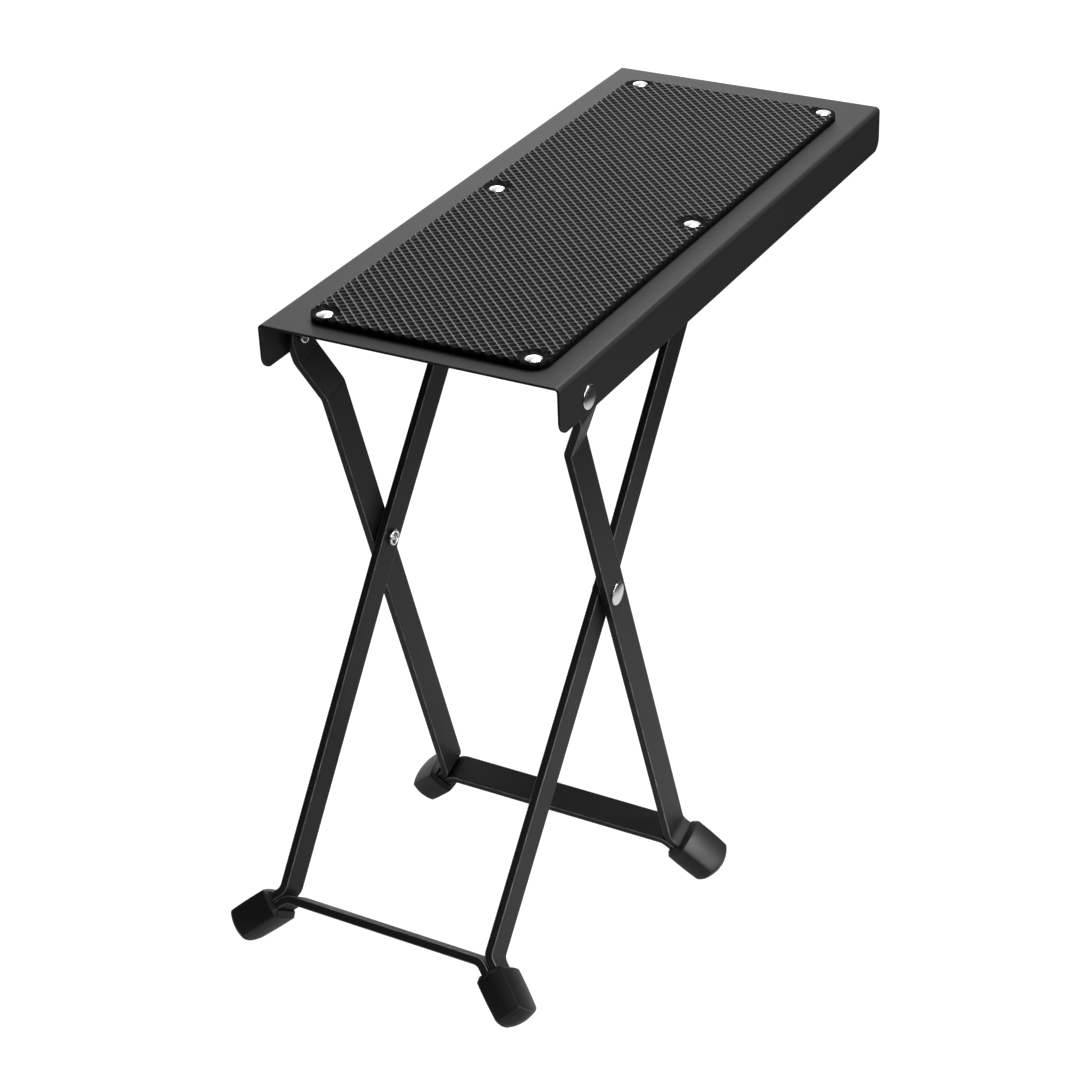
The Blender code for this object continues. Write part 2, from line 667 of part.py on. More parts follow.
def build_pivots(group, outer_carrier, platform_carrier, mats):
    """The two platform hinge rivets, the two scissor rivets and the washers between the frames."""
    leg_inside = FLANGE_INNER_HALF - GAP - BAR_THICKNESS
    for side_name, side in SIDES.items():
        build_side_rivet(
            "platform_hinge_rivet_" + side_name, side, PLATE_WIDTH / 2 + GAP, leg_inside - GAP, 0,
            group, platform_carrier, mats)
        build_side_rivet(
            "scissor_rivet_" + side_name, side, OUTER_HALF_AT_PIVOT + GAP,
            INNER_HALF_AT_PIVOT - BAR_THICKNESS - GAP, 0, group, outer_carrier, mats)
        middle = (INNER_HALF_AT_PIVOT + OUTER_HALF_AT_PIVOT - BAR_THICKNESS) / 2
        bore = RIVET_SHANK_RADIUS + GAP
        half = WASHER_THICKNESS / 2
        ring = [
            (WASHER_RADIUS, half), (WASHER_RADIUS, -half), (bore, -half), (bore, half),
            (WASHER_RADIUS, half)]
        turned(
            "scissor_washer_" + side_name, ring, group, outer_carrier, mats["rivet"],
            (side * middle, 0, 0), (0, math.pi / 2, 0))


def build_rod(group, carrier, mats):
    """The cross rod riveted between the upper ends of the inner frame."""
    face = INNER_HALF_AT_ROD + GAP
    body = INNER_HALF_AT_ROD - BAR_THICKNESS - GAP
    half_profile = [
        (0, face + ROD_HEAD_HEIGHT),
        (ROD_HEAD_RADIUS * math.cos(EAR_ANGLE), face + ROD_HEAD_HEIGHT),
        (ROD_HEAD_RADIUS, face + ROD_HEAD_HEIGHT / 2),
        (ROD_HEAD_RADIUS, face),
        (ROD_TENON_RADIUS, face),
        (ROD_TENON_RADIUS, body),
        (ROD_RADIUS, body),
    ]
    profile = half_profile + [(radius, -height) for radius, height in reversed(half_profile)]
    turned(
        "cross_rod", profile, group, carrier, mats["rod"], (0, PIVOT_TO_ROD, 0),
        (0, math.pi / 2, 0))


def build_rails(layout, group, cutters, carrier, mats):
    """Two L rails under the plate whose notches take the cross rod at each height."""
    top = HINGE_BELOW_TOP - PLATE_SHEET - GAP
    tooth_tip = ROD_RADIUS + GAP
    notch_radius = ROD_RADIUS + NOTCH_SIDE_PLAY
    rivet_rows = [y for rivet, x, y in pad_rivet_places() if "middle" in rivet]
    front = min(layout.hinge_to_rod - RAIL_BEFORE_FIRST_NOTCH, rivet_rows[0] - RAIL_BEFORE_RIVET)
    rear = PLATE_REAR - RAIL_FROM_REAR_END
    for side_name, side in SIDES.items():
        web = RAIL_WEB_HALF_SPREAD
        section = [
            (side * web, tooth_tip, 0),
            (side * (web + RAIL_SHEET), tooth_tip, 0),
            (side * (web + RAIL_SHEET), top - RAIL_SHEET, RAIL_BEND_RADIUS - RAIL_SHEET),
            (side * RAIL_OUTER_HALF, top - RAIL_SHEET, 0),
            (side * RAIL_OUTER_HALF, top, 0),
            (side * web, top, RAIL_BEND_RADIUS),
        ]
        name = "height_rail_" + side_name
        mesh = extruded(name, closed_outline(section), rear - front)
        stand_up(mesh, (front + rear) / 2)
        rail = solid(name, mesh, group, carrier, mats["plate"])
        for number in range(NOTCH_COUNT):
            place = layout.hinge_to_rod + number * NOTCH_PITCH
            notch_z = tooth_tip + NOTCH_DEPTH - notch_radius
            mesh_cut = rod_mesh("notch", notch_radius, 2 * (RAIL_OUTER_HALF - web))
            cutter = solid(
                f"{name}_notch_{number}", mesh_cut, cutters, carrier, None,
                (side * web, place, notch_z), (0, math.pi / 2, 0))
            cut(rail, cutter)
        for rivet, x, y in pad_rivet_places():
            if side_name in rivet and "front" not in rivet:
                place = (x, y, top)
                rivet_hole(rail, rivet + "_rail_hole", 4 * RAIL_SHEET, place, cutters, carrier)
        smooth_round(mesh)


def centre_over_origin(root, group):
    """Shift the whole object along Y so that its box is centred on the origin."""
    bpy.context.view_layer.update()
    depsgraph = bpy.context.evaluated_depsgraph_get()
    reach = []
    for obj in group.objects:
        if obj.type == "MESH":
            shown = obj.evaluated_get(depsgraph)
            reach.extend((shown.matrix_world @ vert.co).y for vert in shown.data.vertices)
    root.location.y -= (min(reach) + max(reach)) / 2
    bpy.context.view_layer.update()


def main():
    """Build the footrest."""
    for old in list(bpy.data.objects):
        bpy.data.objects.remove(old)
    group = collection("guitar_footrest")
    cutters = collection("cutters")
    mats = {
        "plate": material("black_powder_coat", (0.03, 0.03, 0.032), 0.42),
        "bar": material("black_coated_bar", (0.02, 0.02, 0.022), 0.38),
        "rubber": material("black_rubber", (0.015, 0.015, 0.015), 0.7),
        "rivet": material("nickel_plate", (0.8, 0.8, 0.78), 0.18, 1.0),
        "rod": material("zinc_plated_rod", (0.55, 0.56, 0.58), 0.35, 1.0),
    }
    layout = Layout()
    root = empty("footrest", group)
    pivot = (0, 0, layout.pivot_z)
    floor_size = PLATE_LENGTH * 2
    floor = block("floor_level", (floor_size, floor_size, floor_size), (0, 0, -floor_size / 2))
    solid("floor_level", floor, cutters, root)
    outer = empty("outer_frame_pivot", group, pivot, math.pi / 2 + REAR_LEG_LEAN, root)
    inner = empty("inner_frame_pivot", group, pivot, math.pi / 2 - FRONT_LEG_LEAN, root)
    hinge = empty("platform_hinge", group, Vector(pivot) + layout.hinge, layout.tilt, root)
    build_outer_frame(layout, group, cutters, outer, mats)
    build_inner_frame(group, cutters, inner, mats)
    build_platform(group, cutters, hinge, mats)
    build_pad(group, cutters, hinge, mats)
    build_pad_rivets(group, hinge, mats)
    build_pivots(group, outer, hinge, mats)
    build_rod(group, inner, mats)
    build_rails(layout, group, cutters, hinge, mats)
    centre_over_origin(root, group)
    rear_crossbar = layout.pivot_to_rear_crossbar
    print(f"rear crossbar {rear_crossbar:.4f} m from the pivot, tilt {math.degrees(layout.tilt):.2f} deg")
    for carrier in (outer, inner, hinge):
        print(carrier.name, [round(value, 5) for value in carrier.matrix_world.translation])


main()
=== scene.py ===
"""Looks of the folding guitar footrest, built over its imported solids.

Metres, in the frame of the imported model. Each piece is made in the local frame of the body that
carries it: Y runs along the part and Z stands square to it, with the body's joint at the origin.
"""

import json
import math

import bmesh
import bpy
from mathutils import Matrix, Vector


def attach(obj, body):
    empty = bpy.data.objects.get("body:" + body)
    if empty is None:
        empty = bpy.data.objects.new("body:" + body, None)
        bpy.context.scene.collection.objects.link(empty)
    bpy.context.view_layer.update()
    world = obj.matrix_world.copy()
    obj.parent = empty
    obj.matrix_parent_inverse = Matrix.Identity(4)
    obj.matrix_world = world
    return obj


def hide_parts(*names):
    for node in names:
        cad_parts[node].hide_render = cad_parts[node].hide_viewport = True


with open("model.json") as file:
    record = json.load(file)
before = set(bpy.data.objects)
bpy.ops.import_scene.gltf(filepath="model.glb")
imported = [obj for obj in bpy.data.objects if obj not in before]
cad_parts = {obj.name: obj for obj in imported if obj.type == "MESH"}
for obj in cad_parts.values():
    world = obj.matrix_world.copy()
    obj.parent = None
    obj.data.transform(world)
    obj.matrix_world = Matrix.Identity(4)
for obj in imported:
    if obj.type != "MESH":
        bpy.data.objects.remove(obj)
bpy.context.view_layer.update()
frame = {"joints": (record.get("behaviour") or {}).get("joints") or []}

# Leans of the three bodies and distances between their pivots
FRONT_LEG_LEAN = math.radians(27.2)
REAR_LEG_LEAN = math.radians(29.6)
PLATFORM_TILT = math.radians(11.697)
PIVOT_TO_HINGE = 0.0979
PIVOT_TO_ROD = 0.1197
HINGE_TO_ROD = 0.105257

# Folded sheet of the platform
PLATE_LENGTH = 0.265
PLATE_WIDTH = 0.1144
PLATE_SHEET = 0.001
PLATE_BEND = 0.0013
FLANGE_HEIGHT = 0.0174
FLANGE_CORNER = 0.005
PLATE_FRONT = -0.0195
PLATE_TOP = 0.0117
PLATE_EDGE = 0.0003
FLANGE_INNER_HALF = PLATE_WIDTH / 2 - PLATE_SHEET
DRILL_LENGTH = PLATE_WIDTH * 1.2

# Ribbed rubber mat, a hair above the sheet
MAT_LIFT = 0.00002
MAT_FRONT = -0.0118
MAT_REAR = 0.2295
MAT_HALF_WIDTH = 0.04525
MAT_SHIFT = 0.0018
MAT_THICKNESS = 0.0032
MAT_CORNER = 0.006
MAT_BORDER = 0.0003
MAT_SHOULDER = 0.0026
RIB_ACROSS = 0.004266
RIB_ALONG = 0.003938
RIB_CREST = 0.00026
RIB_WALL = 0.00062
RIB_HEIGHT = 0.00072
SECOND_RIB_DROP = 0.00008
RIBS_PAST_MAT = 0.004
DIMPLE_RADIUS = 0.0058
DIMPLE_DEPTH = 0.0013
DIMPLE_FLAT = 0.5
DIMPLE_REFINED = DIMPLE_RADIUS * 1.2

# Rivets of the mat, the tail as (radius, depth below the last sheet)
MAT_RIVET_HALF_SPREAD = 0.0397
MAT_RIVET_ROWS = {"front": -0.0074, "middle": 0.1094, "rear": 0.2262}
MAT_RIVET_RADIUS = 0.003
MAT_RIVET_CROWN = 0.001
MAT_RIVET_FOOT = MAT_RIVET_RADIUS * 0.97
MAT_RIVET_SINK = 0.00012
MAT_RIVET_SHANK = 0.0015
MAT_RIVET_SEAT = MAT_THICKNESS - DIMPLE_DEPTH
MAT_RIVET_TAIL = (
    (0.0023, 0), (0.0025, 0.0003), (0.0022, 0.0008), (0.0012, 0.0009), (0.0009, 0.0006),
    (0, 0.0006))

# Flat bar of the leg frames
BAR_WIDTH = 0.012
BAR = 0.003
BAR_EDGE = 0.0004
BAR_BEND = 0.005
BAR_END_ROUND = 0.0045
JOG_LOWER = 0.0735
JOG_UPPER = 0.0895
BAR_PAST_RIVET = 0.0055
OUTER_AT_PIVOT = 0.0498
OUTER_AT_FOOT = 0.0514
OUTER_CROSSBAR = 0.140703
INNER_AT_PIVOT = 0.0457
INNER_AT_ROD = 0.0452
INNER_AT_FOOT = 0.0439
INNER_CROSSBAR = 0.1375

# Rubber feet on the hairpin corners
EAR_HALF_PITCH = 0.00175
EAR_LENGTH = 0.0185
EAR_TURN = math.radians(45)
CAP_START = 0.0047
CAP_LENGTH = 0.0198
CAP_HALF_WIDTH = 0.0062
CAP_HALF_DEPTH = 0.0083
CAP_BULGE = 0.0008
CAP_SIDE_STEPS = 8
CAP_CORNER_START = 0.955
CAP_WIDEST = 0.4
CAP_MOUTH_NARROW = 0.0001
CAP_TOE_NARROW = 0.0003
CAP_TOE_DROP_WIDTH = 0.0015
CAP_TOE_DROP_DEPTH = 0.0028
CAP_TOE_EDGE = 0.0007
CAP_TOE_CREST = 0.00022
CAP_TOE_SCALES = (0.84, 0.64, 0.42, 0.2)
CAP_MOUTH_CHAMFER = 0.0015
CAP_MOUTH_ROUND = 0.00015
CAP_MOUTH_LIP = 0.00035
CAP_MOUTH_SHARE = 0.06
CAP_EDGE_STEP = 0.00012
CAP_EDGE_INSET = 0.00018
CAP_EDGE_CREST = 0.00005
CAP_SIDE_START = 0.0008
CAP_SIDE_START_SHARE = 0.08
CAP_SIDE_SHARES = (0.22, 0.36, 0.5, 0.64, 0.78, 0.9)
POCKET_SPREAD = 1.35

# Rivets, washers and the cross rod
RIVET_HEAD = 0.0043
RIVET_CROWN = 0.0009
RIM = 0.0002
HEAD_WAIST_SHARE = 0.985
HEAD_FOOT_SHARE = 0.96
HEAD_LIFT = 0.00005
RIVET_SHANK = 0.0025
RIVET_TAIL = 0.0031
HINGE_RIVET_TAIL = 0.0027
TAIL_LENGTH = 0.0012
TAIL_ROUND = 0.0006
TUBE_MOUTH = 0.0018
TUBE_END = 0.0017
TUBE_DEPTH = 0.0035
WASHER = 0.0036
WASHER_THICK = 0.0005
WASHER_EDGE = 0.00015
ROD = 0.004
ROD_EDGE = 0.0004
ROD_HEAD = 0.0038
ROD_HEAD_CROWN = 0.0012
ROD_HEAD_RIM = 0.0004

# Notched rails under the plate
RAIL_SHEET = 0.0015
RAIL_EDGE = 0.0002
RAIL_BEND = 0.00145
RAIL_WEB = 0.032
RAIL_OUTER = 0.0455
RAIL_FRONT = 0.094257
RAIL_REAR = 0.2338
NOTCH_PITCH = 0.018
NOTCH_COUNT = 5
NOTCH_RADIUS = 0.0044
NOTCH_CUT = 0.006
TOOTH_TIP = 0.0043
NOTCH_CENTRE = 0.0029

# Clearance of the fits, and the bores that the side rivets run in
SEAT = 0.0003
RIVET_BORE = RIVET_SHANK + SEAT

# Fineness of bends, of a strip's small radii and rounded ends, of turned shapes and bores
BEND_STEPS = 10
EDGE_SHARES = (0, 0.08, 0.3, 0.62, 1)
EDGE_ANGLES = (0, 30, 60, 90)
END_ANGLES = range(15, 91, 5)
TURNED_SEGMENTS = 48
SIDE_RIVET_SEGMENTS = 56
DRILL_SEGMENTS = 40
SAME_PLACE = 1e-7
SHORTEST_STEP = 1e-6

# Share of a side that a rounding may take, and of a head's rise that its rolled rim takes
LONGEST_REACH = 0.45
ROLL_SIZE = 0.3
ROLL_SHARES = (0.35, 0.7, 1)

# Edge mask on the flat faces of a strip, where its edges have 1 and get a painted highlight
FLAT_EDGE_SHARE = 0.35

# Relief and reflectance of the finishes
COAT_RELIEF = 0.00003
COAT_INDEX = 1.26
RUBBER_RELIEF = 0.00006
METAL_RELIEF = 0.000012

# Studio floor, room and camera
FLOOR_HALF = 4.0
FLOOR_DROP = 0.0002
FLOOR_GLOW = 1.12
ROOM_DIM = 0.09
LENS_MM = 86.915
SENSOR_MM = 36
CAMERA_PLACE = (0.4141, -0.8282, 0.4694)
CAMERA_RIGHT = (0.87721, 0.47615, 0.06151)
CAMERA_UP = (-0.21504, 0.27512, 0.93705)
CAMERA_BACK = (0.42925, -0.83522, 0.34373)

SIDES = {"left": -1, "right": 1}

JOINTS = {joint["name"]: Vector(joint["pos_m"]) for joint in frame["joints"]}


def body_frame(joint, turn):
    """The local frame of a body, at its joint and turned about X."""
    return Matrix.Translation(JOINTS[joint]) @ Matrix.Rotation(turn, 4, "X")


OUTER = body_frame("scissor_hinge", math.pi / 2 + REAR_LEG_LEAN)
INNER = body_frame("scissor_hinge", math.pi / 2 - FRONT_LEG_LEAN)
PLATFORM = body_frame("platform_hinge", PLATFORM_TILT)


# Finishes

class Socket:
    """A shader value that can be added, subtracted and multiplied like a number."""

    def __init__(self, finish, output):
        self.finish = finish
        self.output = output

    def maths(self, operation, first, second=0.0):
        """A Math node on two values."""
        return self.finish.node("Math", {"operation": operation}, {0: first, 1: second})

    def __add__(self, other):
        return self.maths("ADD", self, other)

    def __sub__(self, other):
        return self.maths("SUBTRACT", self, other)

    def __rsub__(self, other):
        return self.maths("SUBTRACT", other, self)

    def __mul__(self, other):
        return self.maths("MULTIPLY", self, other)

    __radd__ = __add__
    __rmul__ = __mul__

    def clamped(self):
        """The value held between 0 and 1."""
        return self.finish.node("Clamp", {}, {"Value": self})


class Finish:
    """The tree of a material or of the world, built from nodes."""

    def __init__(self, holder):
        holder.use_nodes = True
        self.tree = holder.node_tree

    def node(self, kind, settings, values, output=0):
        """One node: its settings first, then the values or links of its sockets."""
        made = self.tree.nodes.new("ShaderNode" + kind)
        for name, value in settings.items():
            setattr(made, name, value)
        for name, value in values.items():
            self.feed(made.inputs[name], value)
        return Socket(self, made.outputs[output])

    def feed(self, socket, value):
        """Link a socket or set its value, a colour without its alpha."""
        if isinstance(value, Socket):
            self.tree.links.new(value.output, socket)
        elif socket.type == "RGBA":
            socket.default_value = (*value, 1)
        else:
            socket.default_value = value

    def noise(self, points, scale, detail=2.0, roughness=0.5):
        """Noise from 0 to 1 around a half. Scale is in waves to the metre."""
        return self.node("TexNoise", {}, {
            "Vector": points, "Scale": scale, "Detail": detail, "Roughness": roughness})

    def ramp(self, value, low, high):
        """The value stretched so that low gives 0 and high gives 1, with soft ends."""
        return self.node(
            "MapRange", {"interpolation_type": "SMOOTHSTEP"},
            {"Value": value, "From Min": low, "From Max": high})

    def mix(self, share, first, second):
        """A colour between two colours."""
        return self.node("Mix", {"data_type": "RGBA"}, {0: share, 6: first, 7: second}, 2)

    def stretched(self, points, x, y, z):
        """Points scaled along each axis."""
        return self.node(
            "VectorMath", {"operation": "MULTIPLY"}, {0: points, 1: (x, y, z)})

    def attribute(self, name):
        """A value that the mesh carries at its points."""
        return self.node("Attribute", {"attribute_name": name}, {}, "Fac")


def surface(name, colour, roughness, height, relief, constants):
    """A finished material. The three recipes are functions of the tree and its object points."""
    material = bpy.data.materials.new(name)
    finish = Finish(material)
    shader = finish.tree.nodes["Principled BSDF"]
    points = finish.node("TexCoord", {}, {}, "Object")
    for constant, value in constants.items():
        shader.inputs[constant].default_value = value
    finish.feed(shader.inputs["Base Color"], colour(finish, points))
    finish.feed(shader.inputs["Roughness"], roughness(finish, points))
    bump = finish.node("Bump", {}, {
        "Strength": 1.0, "Distance": relief, "Height": height(finish, points)})
    finish.feed(shader.inputs["Normal"], bump)
    return material


def coat_material(name, dark, light, rough, edge_highlight_lift):
    """Satin black powder coat: fine orange peel over a slow mottle, painted paler along edges as a
    highlight.

    Rough is the mean roughness, and the edge lift says how many times paler than light the painted
    edge highlight is.
    """
    def painted_edge_highlight(finish, points):
        """How much painted highlight the coat gets: along the edges, in patches."""
        patch = finish.ramp(finish.noise(points, 160, 4), 0.35, 0.68)
        return finish.ramp(finish.attribute("edge"), 0.4, 1.0) * (patch * 0.5 + 0.5)

    def colour(finish, points):
        mottle = finish.mix(finish.noise(points, 22, 4), dark, light)
        speck = finish.ramp(finish.noise(points, 2600, 1), 0.66, 0.78)
        # Paler along the edges: a painted highlight, broken up in patches.
        grey = tuple(edge_highlight_lift * part for part in light)
        return finish.mix((painted_edge_highlight(finish, points) * 0.7 + speck * 0.04).clamped(), mottle, grey)

    def roughness(finish, points):
        slow = finish.noise(points, 14, 3) * 0.02
        fine = finish.noise(points, 1500, 2) * 0.08
        return slow + fine + (rough - 0.05) - painted_edge_highlight(finish, points) * 0.08

    def height(finish, points):
        return finish.noise(points, 1100, 2) * 0.75 + finish.noise(points, 4200, 1) * 0.25

    return surface(name, colour, roughness, height, COAT_RELIEF, {"IOR": COAT_INDEX})


def rubber_material(name, dark, light, rough, crest_highlight_lift, index):
    """Moulded rubber: a fine grain, dusty patches and, where it stands up, a painted highlight.

    The highlight lift says how many times paler than light the painted highlight is, and index is
    the IOR.
    """
    def colour(finish, points):
        dust = finish.ramp(finish.noise(points, 70, 5, 0.6), 0.42, 0.74)
        base = finish.mix(dust, dark, light)
        # Paler on the crests and edge lines: a painted highlight.
        grey = tuple(crest_highlight_lift * part for part in light)
        crest = finish.ramp(finish.attribute("edge"), 0.78, 1.0)
        crest_highlight = crest * (finish.noise(points, 900, 2) * 0.5 + 0.6)
        return finish.mix(crest_highlight.clamped(), base, grey)

    def roughness(finish, points):
        patches = finish.noise(points, 48, 3) * 0.14
        return patches + finish.noise(points, 2200, 2) * 0.1 + (rough - 0.12)

    def height(finish, points):
        return finish.noise(points, 2400, 3, 0.65) * 0.6 + finish.noise(points, 520, 2) * 0.4

    return surface(name, colour, roughness, height, RUBBER_RELIEF, {"IOR": index})


def metal_material(name, pale, deep, rough, lines):
    """Plated metal with faint turning lines, fine scratches and a slight clouding.

    Lines is the number of turning lines to the metre of radius.
    """
    def colour(finish, points):
        cloud = finish.noise(points, 240, 4, 0.6)
        return finish.mix(cloud, deep, pale)

    def roughness(finish, points):
        haze = finish.noise(points, 420, 3) * 0.09
        scratch = finish.ramp(finish.noise(finish.stretched(points, 1, 9, 1), 900, 2), 0.6, 0.72)
        return haze + scratch * 0.08 + (rough - 0.045)

    def height(finish, points):
        radius = finish.node("VectorMath", {"operation": "LENGTH"}, {0: points}, "Value")
        turning = finish.node(
            "TexNoise", {"noise_dimensions": "1D"}, {"W": radius * lines, "Detail": 1.0})
        return turning * 0.5 + finish.noise(points, 1600, 2) * 0.5

    return surface(name, colour, roughness, height, METAL_RELIEF, {"Metallic": 1.0})


FINISHES = {
    "plate_coat": coat_material(
        "plate_powder_coat", dark=(0.0195,) * 3, light=(0.0225,) * 3, rough=0.46, edge_highlight_lift=2.0),
    "bar_coat": coat_material(
        "bar_powder_coat", dark=(0.011,) * 3, light=(0.0145,) * 3, rough=0.42, edge_highlight_lift=20.0),
    "mat_rubber": rubber_material(
        "mat_rubber", dark=(0.0018,) * 3, light=(0.003,) * 3, rough=0.66, crest_highlight_lift=52.0, index=1.15),
    "cap_rubber": rubber_material(
        "foot_rubber", dark=(0.0065,) * 3, light=(0.009,) * 3, rough=0.36, crest_highlight_lift=5.0, index=1.34),
    "rivet_metal": metal_material(
        "nickel_plate", pale=(0.93, 0.93, 0.92), deep=(0.86,) * 3, rough=0.15, lines=2500),
    "rod_metal": metal_material(
        "zinc_plate", pale=(0.6, 0.61, 0.63), deep=(0.46, 0.47, 0.49), rough=0.32, lines=1500),
}


# Shapes

def place(name, mesh, at, body, slot, *nodes, weighted=True):
    """Put a mesh on its body in place of the solids that it stands for."""
    mesh.shade_smooth()
    piece = bpy.data.objects.new(name, mesh)
    piece.matrix_world = at
    mesh.materials.append(FINISHES[slot])
    bpy.context.scene.collection.objects.link(piece)
    if weighted:
        normals = piece.modifiers.new("face_normals", "WEIGHTED_NORMAL")
        normals.keep_sharp = True
    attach(piece, body)
    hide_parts(*nodes)


def finished(name, bm, edge=None):
    """A mesh from bmesh with outward normals and the values of its edge mask."""
    bmesh.ops.recalc_face_normals(bm, faces=bm.faces)
    mesh = bpy.data.meshes.new(name)
    bm.to_mesh(mesh)
    bm.free()
    mask = mesh.attributes.new("edge", "FLOAT", "POINT")
    if edge:
        mask.data.foreach_set("value", edge)
    return mesh


def bent_path(corners):
    """Points of a path whose corners (x, y, radius) are rounded with fine arcs."""
    points = [Vector(corners[0][:2])]
    for before, corner, after in zip(corners, corners[1:], corners[2:]):
        here = Vector(corner[:2])
        arriving = (here - Vector(before[:2])).normalized()
        leaving = (Vector(after[:2]) - here).normalized()
        turn = arriving.angle_signed(leaving)
        inward = Vector((arriving.y, -arriving.x)) * math.copysign(1, turn)
        start = here - arriving * corner[2] * math.tan(abs(turn) / 2)
        steps = max(2, math.ceil(abs(turn) / (math.pi / 2) * BEND_STEPS))
        for step in range(steps + 1):
            spoke = Matrix.Rotation(-turn * step / steps, 2) @ (-inward * corner[2])
            point = start + inward * corner[2] + spoke
            if (point - points[-1]).length > SHORTEST_STEP:
                points.append(point)
    points.append(Vector(corners[-1][:2]))
    return points


def end_insets(round_off, edge):
    """Distance from a strip's end with the insets in width and in thickness there."""
    steps = [edge * share for share in EDGE_SHARES]
    if round_off:
        steps += [round_off * (1 - math.cos(math.radians(angle))) for angle in END_ANGLES]
    insets = []
    for along in sorted(step for step in set(steps) if step <= max(round_off, edge)):
        thin = edge - math.sqrt(max(0, edge ** 2 - max(0, edge - along) ** 2))
        corner = max(round_off, edge)
        narrow = corner - math.sqrt(max(0, corner ** 2 - max(0, corner - along) ** 2))
        insets.append((along, max(narrow, thin), thin))
    return insets


def strip_mesh(name, corners, thickness, width, round_off, edge):
    """A strip of constant thickness bent along a path in XY, its width along Z.

    Its long edges and its ends have small radii, and the corners of its ends are rounded off.
    """
    path = bent_path(corners)
    stations = []
    for i, point in enumerate(path):
        arriving = (point - path[max(i - 1, 0)]).normalized()
        leaving = (path[min(i + 1, len(path) - 1)] - point).normalized()
        along = (arriving + leaving).normalized()
        mitre = along.dot(leaving if leaving.length else arriving)
        stations.append((point, Vector((-along.y, along.x)) / mitre, 0.0, 0.0))
    insets = end_insets(round_off, edge)
    first, last = stations[0], stations[-1]
    start_way = (path[1] - path[0]).normalized()
    end_way = (path[-2] - path[-1]).normalized()
    opening = [(first[0] + start_way * d, first[1], w, t) for d, w, t in insets]
    closing = [(last[0] + end_way * d, last[1], w, t) for d, w, t in reversed(insets)]
    bm = bmesh.new()
    rings = []
    mask = []
    for point, across, narrow, thin in opening + stations[1:-1] + closing:
        ring = []
        half_t = thickness / 2 - thin
        half_w = width / 2 - narrow
        radius = min(edge, half_t, half_w)
        for sign_t, sign_w, start in ((1, 1, 0), (-1, 1, 90), (-1, -1, 180), (1, -1, 270)):
            for angle in EDGE_ANGLES:
                turn = math.radians(start + angle)
                t = sign_t * (half_t - radius) + radius * math.cos(turn)
                w = sign_w * (half_w - radius) + radius * math.sin(turn)
                spot = point + across * t
                ring.append(bm.verts.new((spot.x, spot.y, w)))
                # Edge rings get 1 in the mask that paints the edge highlight.
                mask.append(1.0 if angle in EDGE_ANGLES[1:-1] or thin else FLAT_EDGE_SHARE)
        rings.append(ring)
    for ring, following in zip(rings, rings[1:]):
        for i in range(len(ring)):
            j = (i + 1) % len(ring)
            bm.faces.new((ring[i], ring[j], following[j], following[i]))
    bm.faces.new(rings[0])
    bm.faces.new(rings[-1])
    return finished(name, bm, mask)


def stand_up(mesh, middle):
    """Turn a strip whose section lies in XY so that its width runs along Y."""
    mesh.transform(Matrix.Translation((0, middle, 0)) @ Matrix.Rotation(math.pi / 2, 4, "X"))


def turned_mesh(name, profile, segments=TURNED_SEGMENTS):
    """A turned shape about Z from (radius, height) points, closed where the radius is 0."""
    bm = bmesh.new()
    rings = []
    for radius, height in profile:
        if radius == 0:
            rings.append([bm.verts.new((0, 0, height))])
            continue
        rings.append([
            bm.verts.new((
                radius * math.cos(math.tau * k / segments),
                radius * math.sin(math.tau * k / segments), height))
            for k in range(segments)])
    for ring, following in zip(rings, rings[1:]):
        for k in range(segments):
            corners = [
                ring[k % len(ring)], ring[(k + 1) % len(ring)],
                following[(k + 1) % len(following)], following[k % len(following)]]
            bm.faces.new(dict.fromkeys(corners))
    return finished(name, bm)


def rounded(points, radius, steps=3):
    """A profile of (radius, height) points with its inner corners rounded."""
    out = [points[0]]
    for before, here, after in zip(points, points[1:], points[2:]):
        here = Vector(here)
        back = Vector(before) - here
        ahead = Vector(after) - here
        reach = min(radius, back.length * LONGEST_REACH, ahead.length * LONGEST_REACH)
        start = here + back.normalized() * reach
        end = here + ahead.normalized() * reach
        for step in range(steps + 1):
            share = step / steps
            spot = start.lerp(here, share).lerp(here.lerp(end, share), share)
            out.append(tuple(spot))
    out.append(points[-1])
    return out


def cut_holes(mesh, holes):
    """Cut round holes (centre, axis, radius, length) through a mesh."""
    piece = bpy.data.objects.new("to_cut", mesh)
    bpy.context.scene.collection.objects.link(piece)
    cutters = []
    for centre, axis, radius, length in holes:
        bm = bmesh.new()
        bmesh.ops.create_cone(
            bm, cap_ends=True, segments=DRILL_SEGMENTS, radius1=radius, radius2=radius,
            depth=length)
        cutter_mesh = bpy.data.meshes.new("drill")
        bm.to_mesh(cutter_mesh)
        bm.free()
        cutter = bpy.data.objects.new("drill", cutter_mesh)
        cutter.matrix_world = (
            Matrix.Translation(centre) @ Vector(axis).to_track_quat("Z", "Y").to_matrix().to_4x4())
        bpy.context.scene.collection.objects.link(cutter)
        cutters.append(cutter)
        drill = piece.modifiers.new("drill", "BOOLEAN")
        drill.object = cutter
        drill.solver = "EXACT"
    bpy.context.view_layer.update()
    depsgraph = bpy.context.evaluated_depsgraph_get()
    result = bpy.data.meshes.new_from_object(piece.evaluated_get(depsgraph))
    for obj in (piece, *cutters):
        bpy.data.objects.remove(obj)
    return result


# Platform

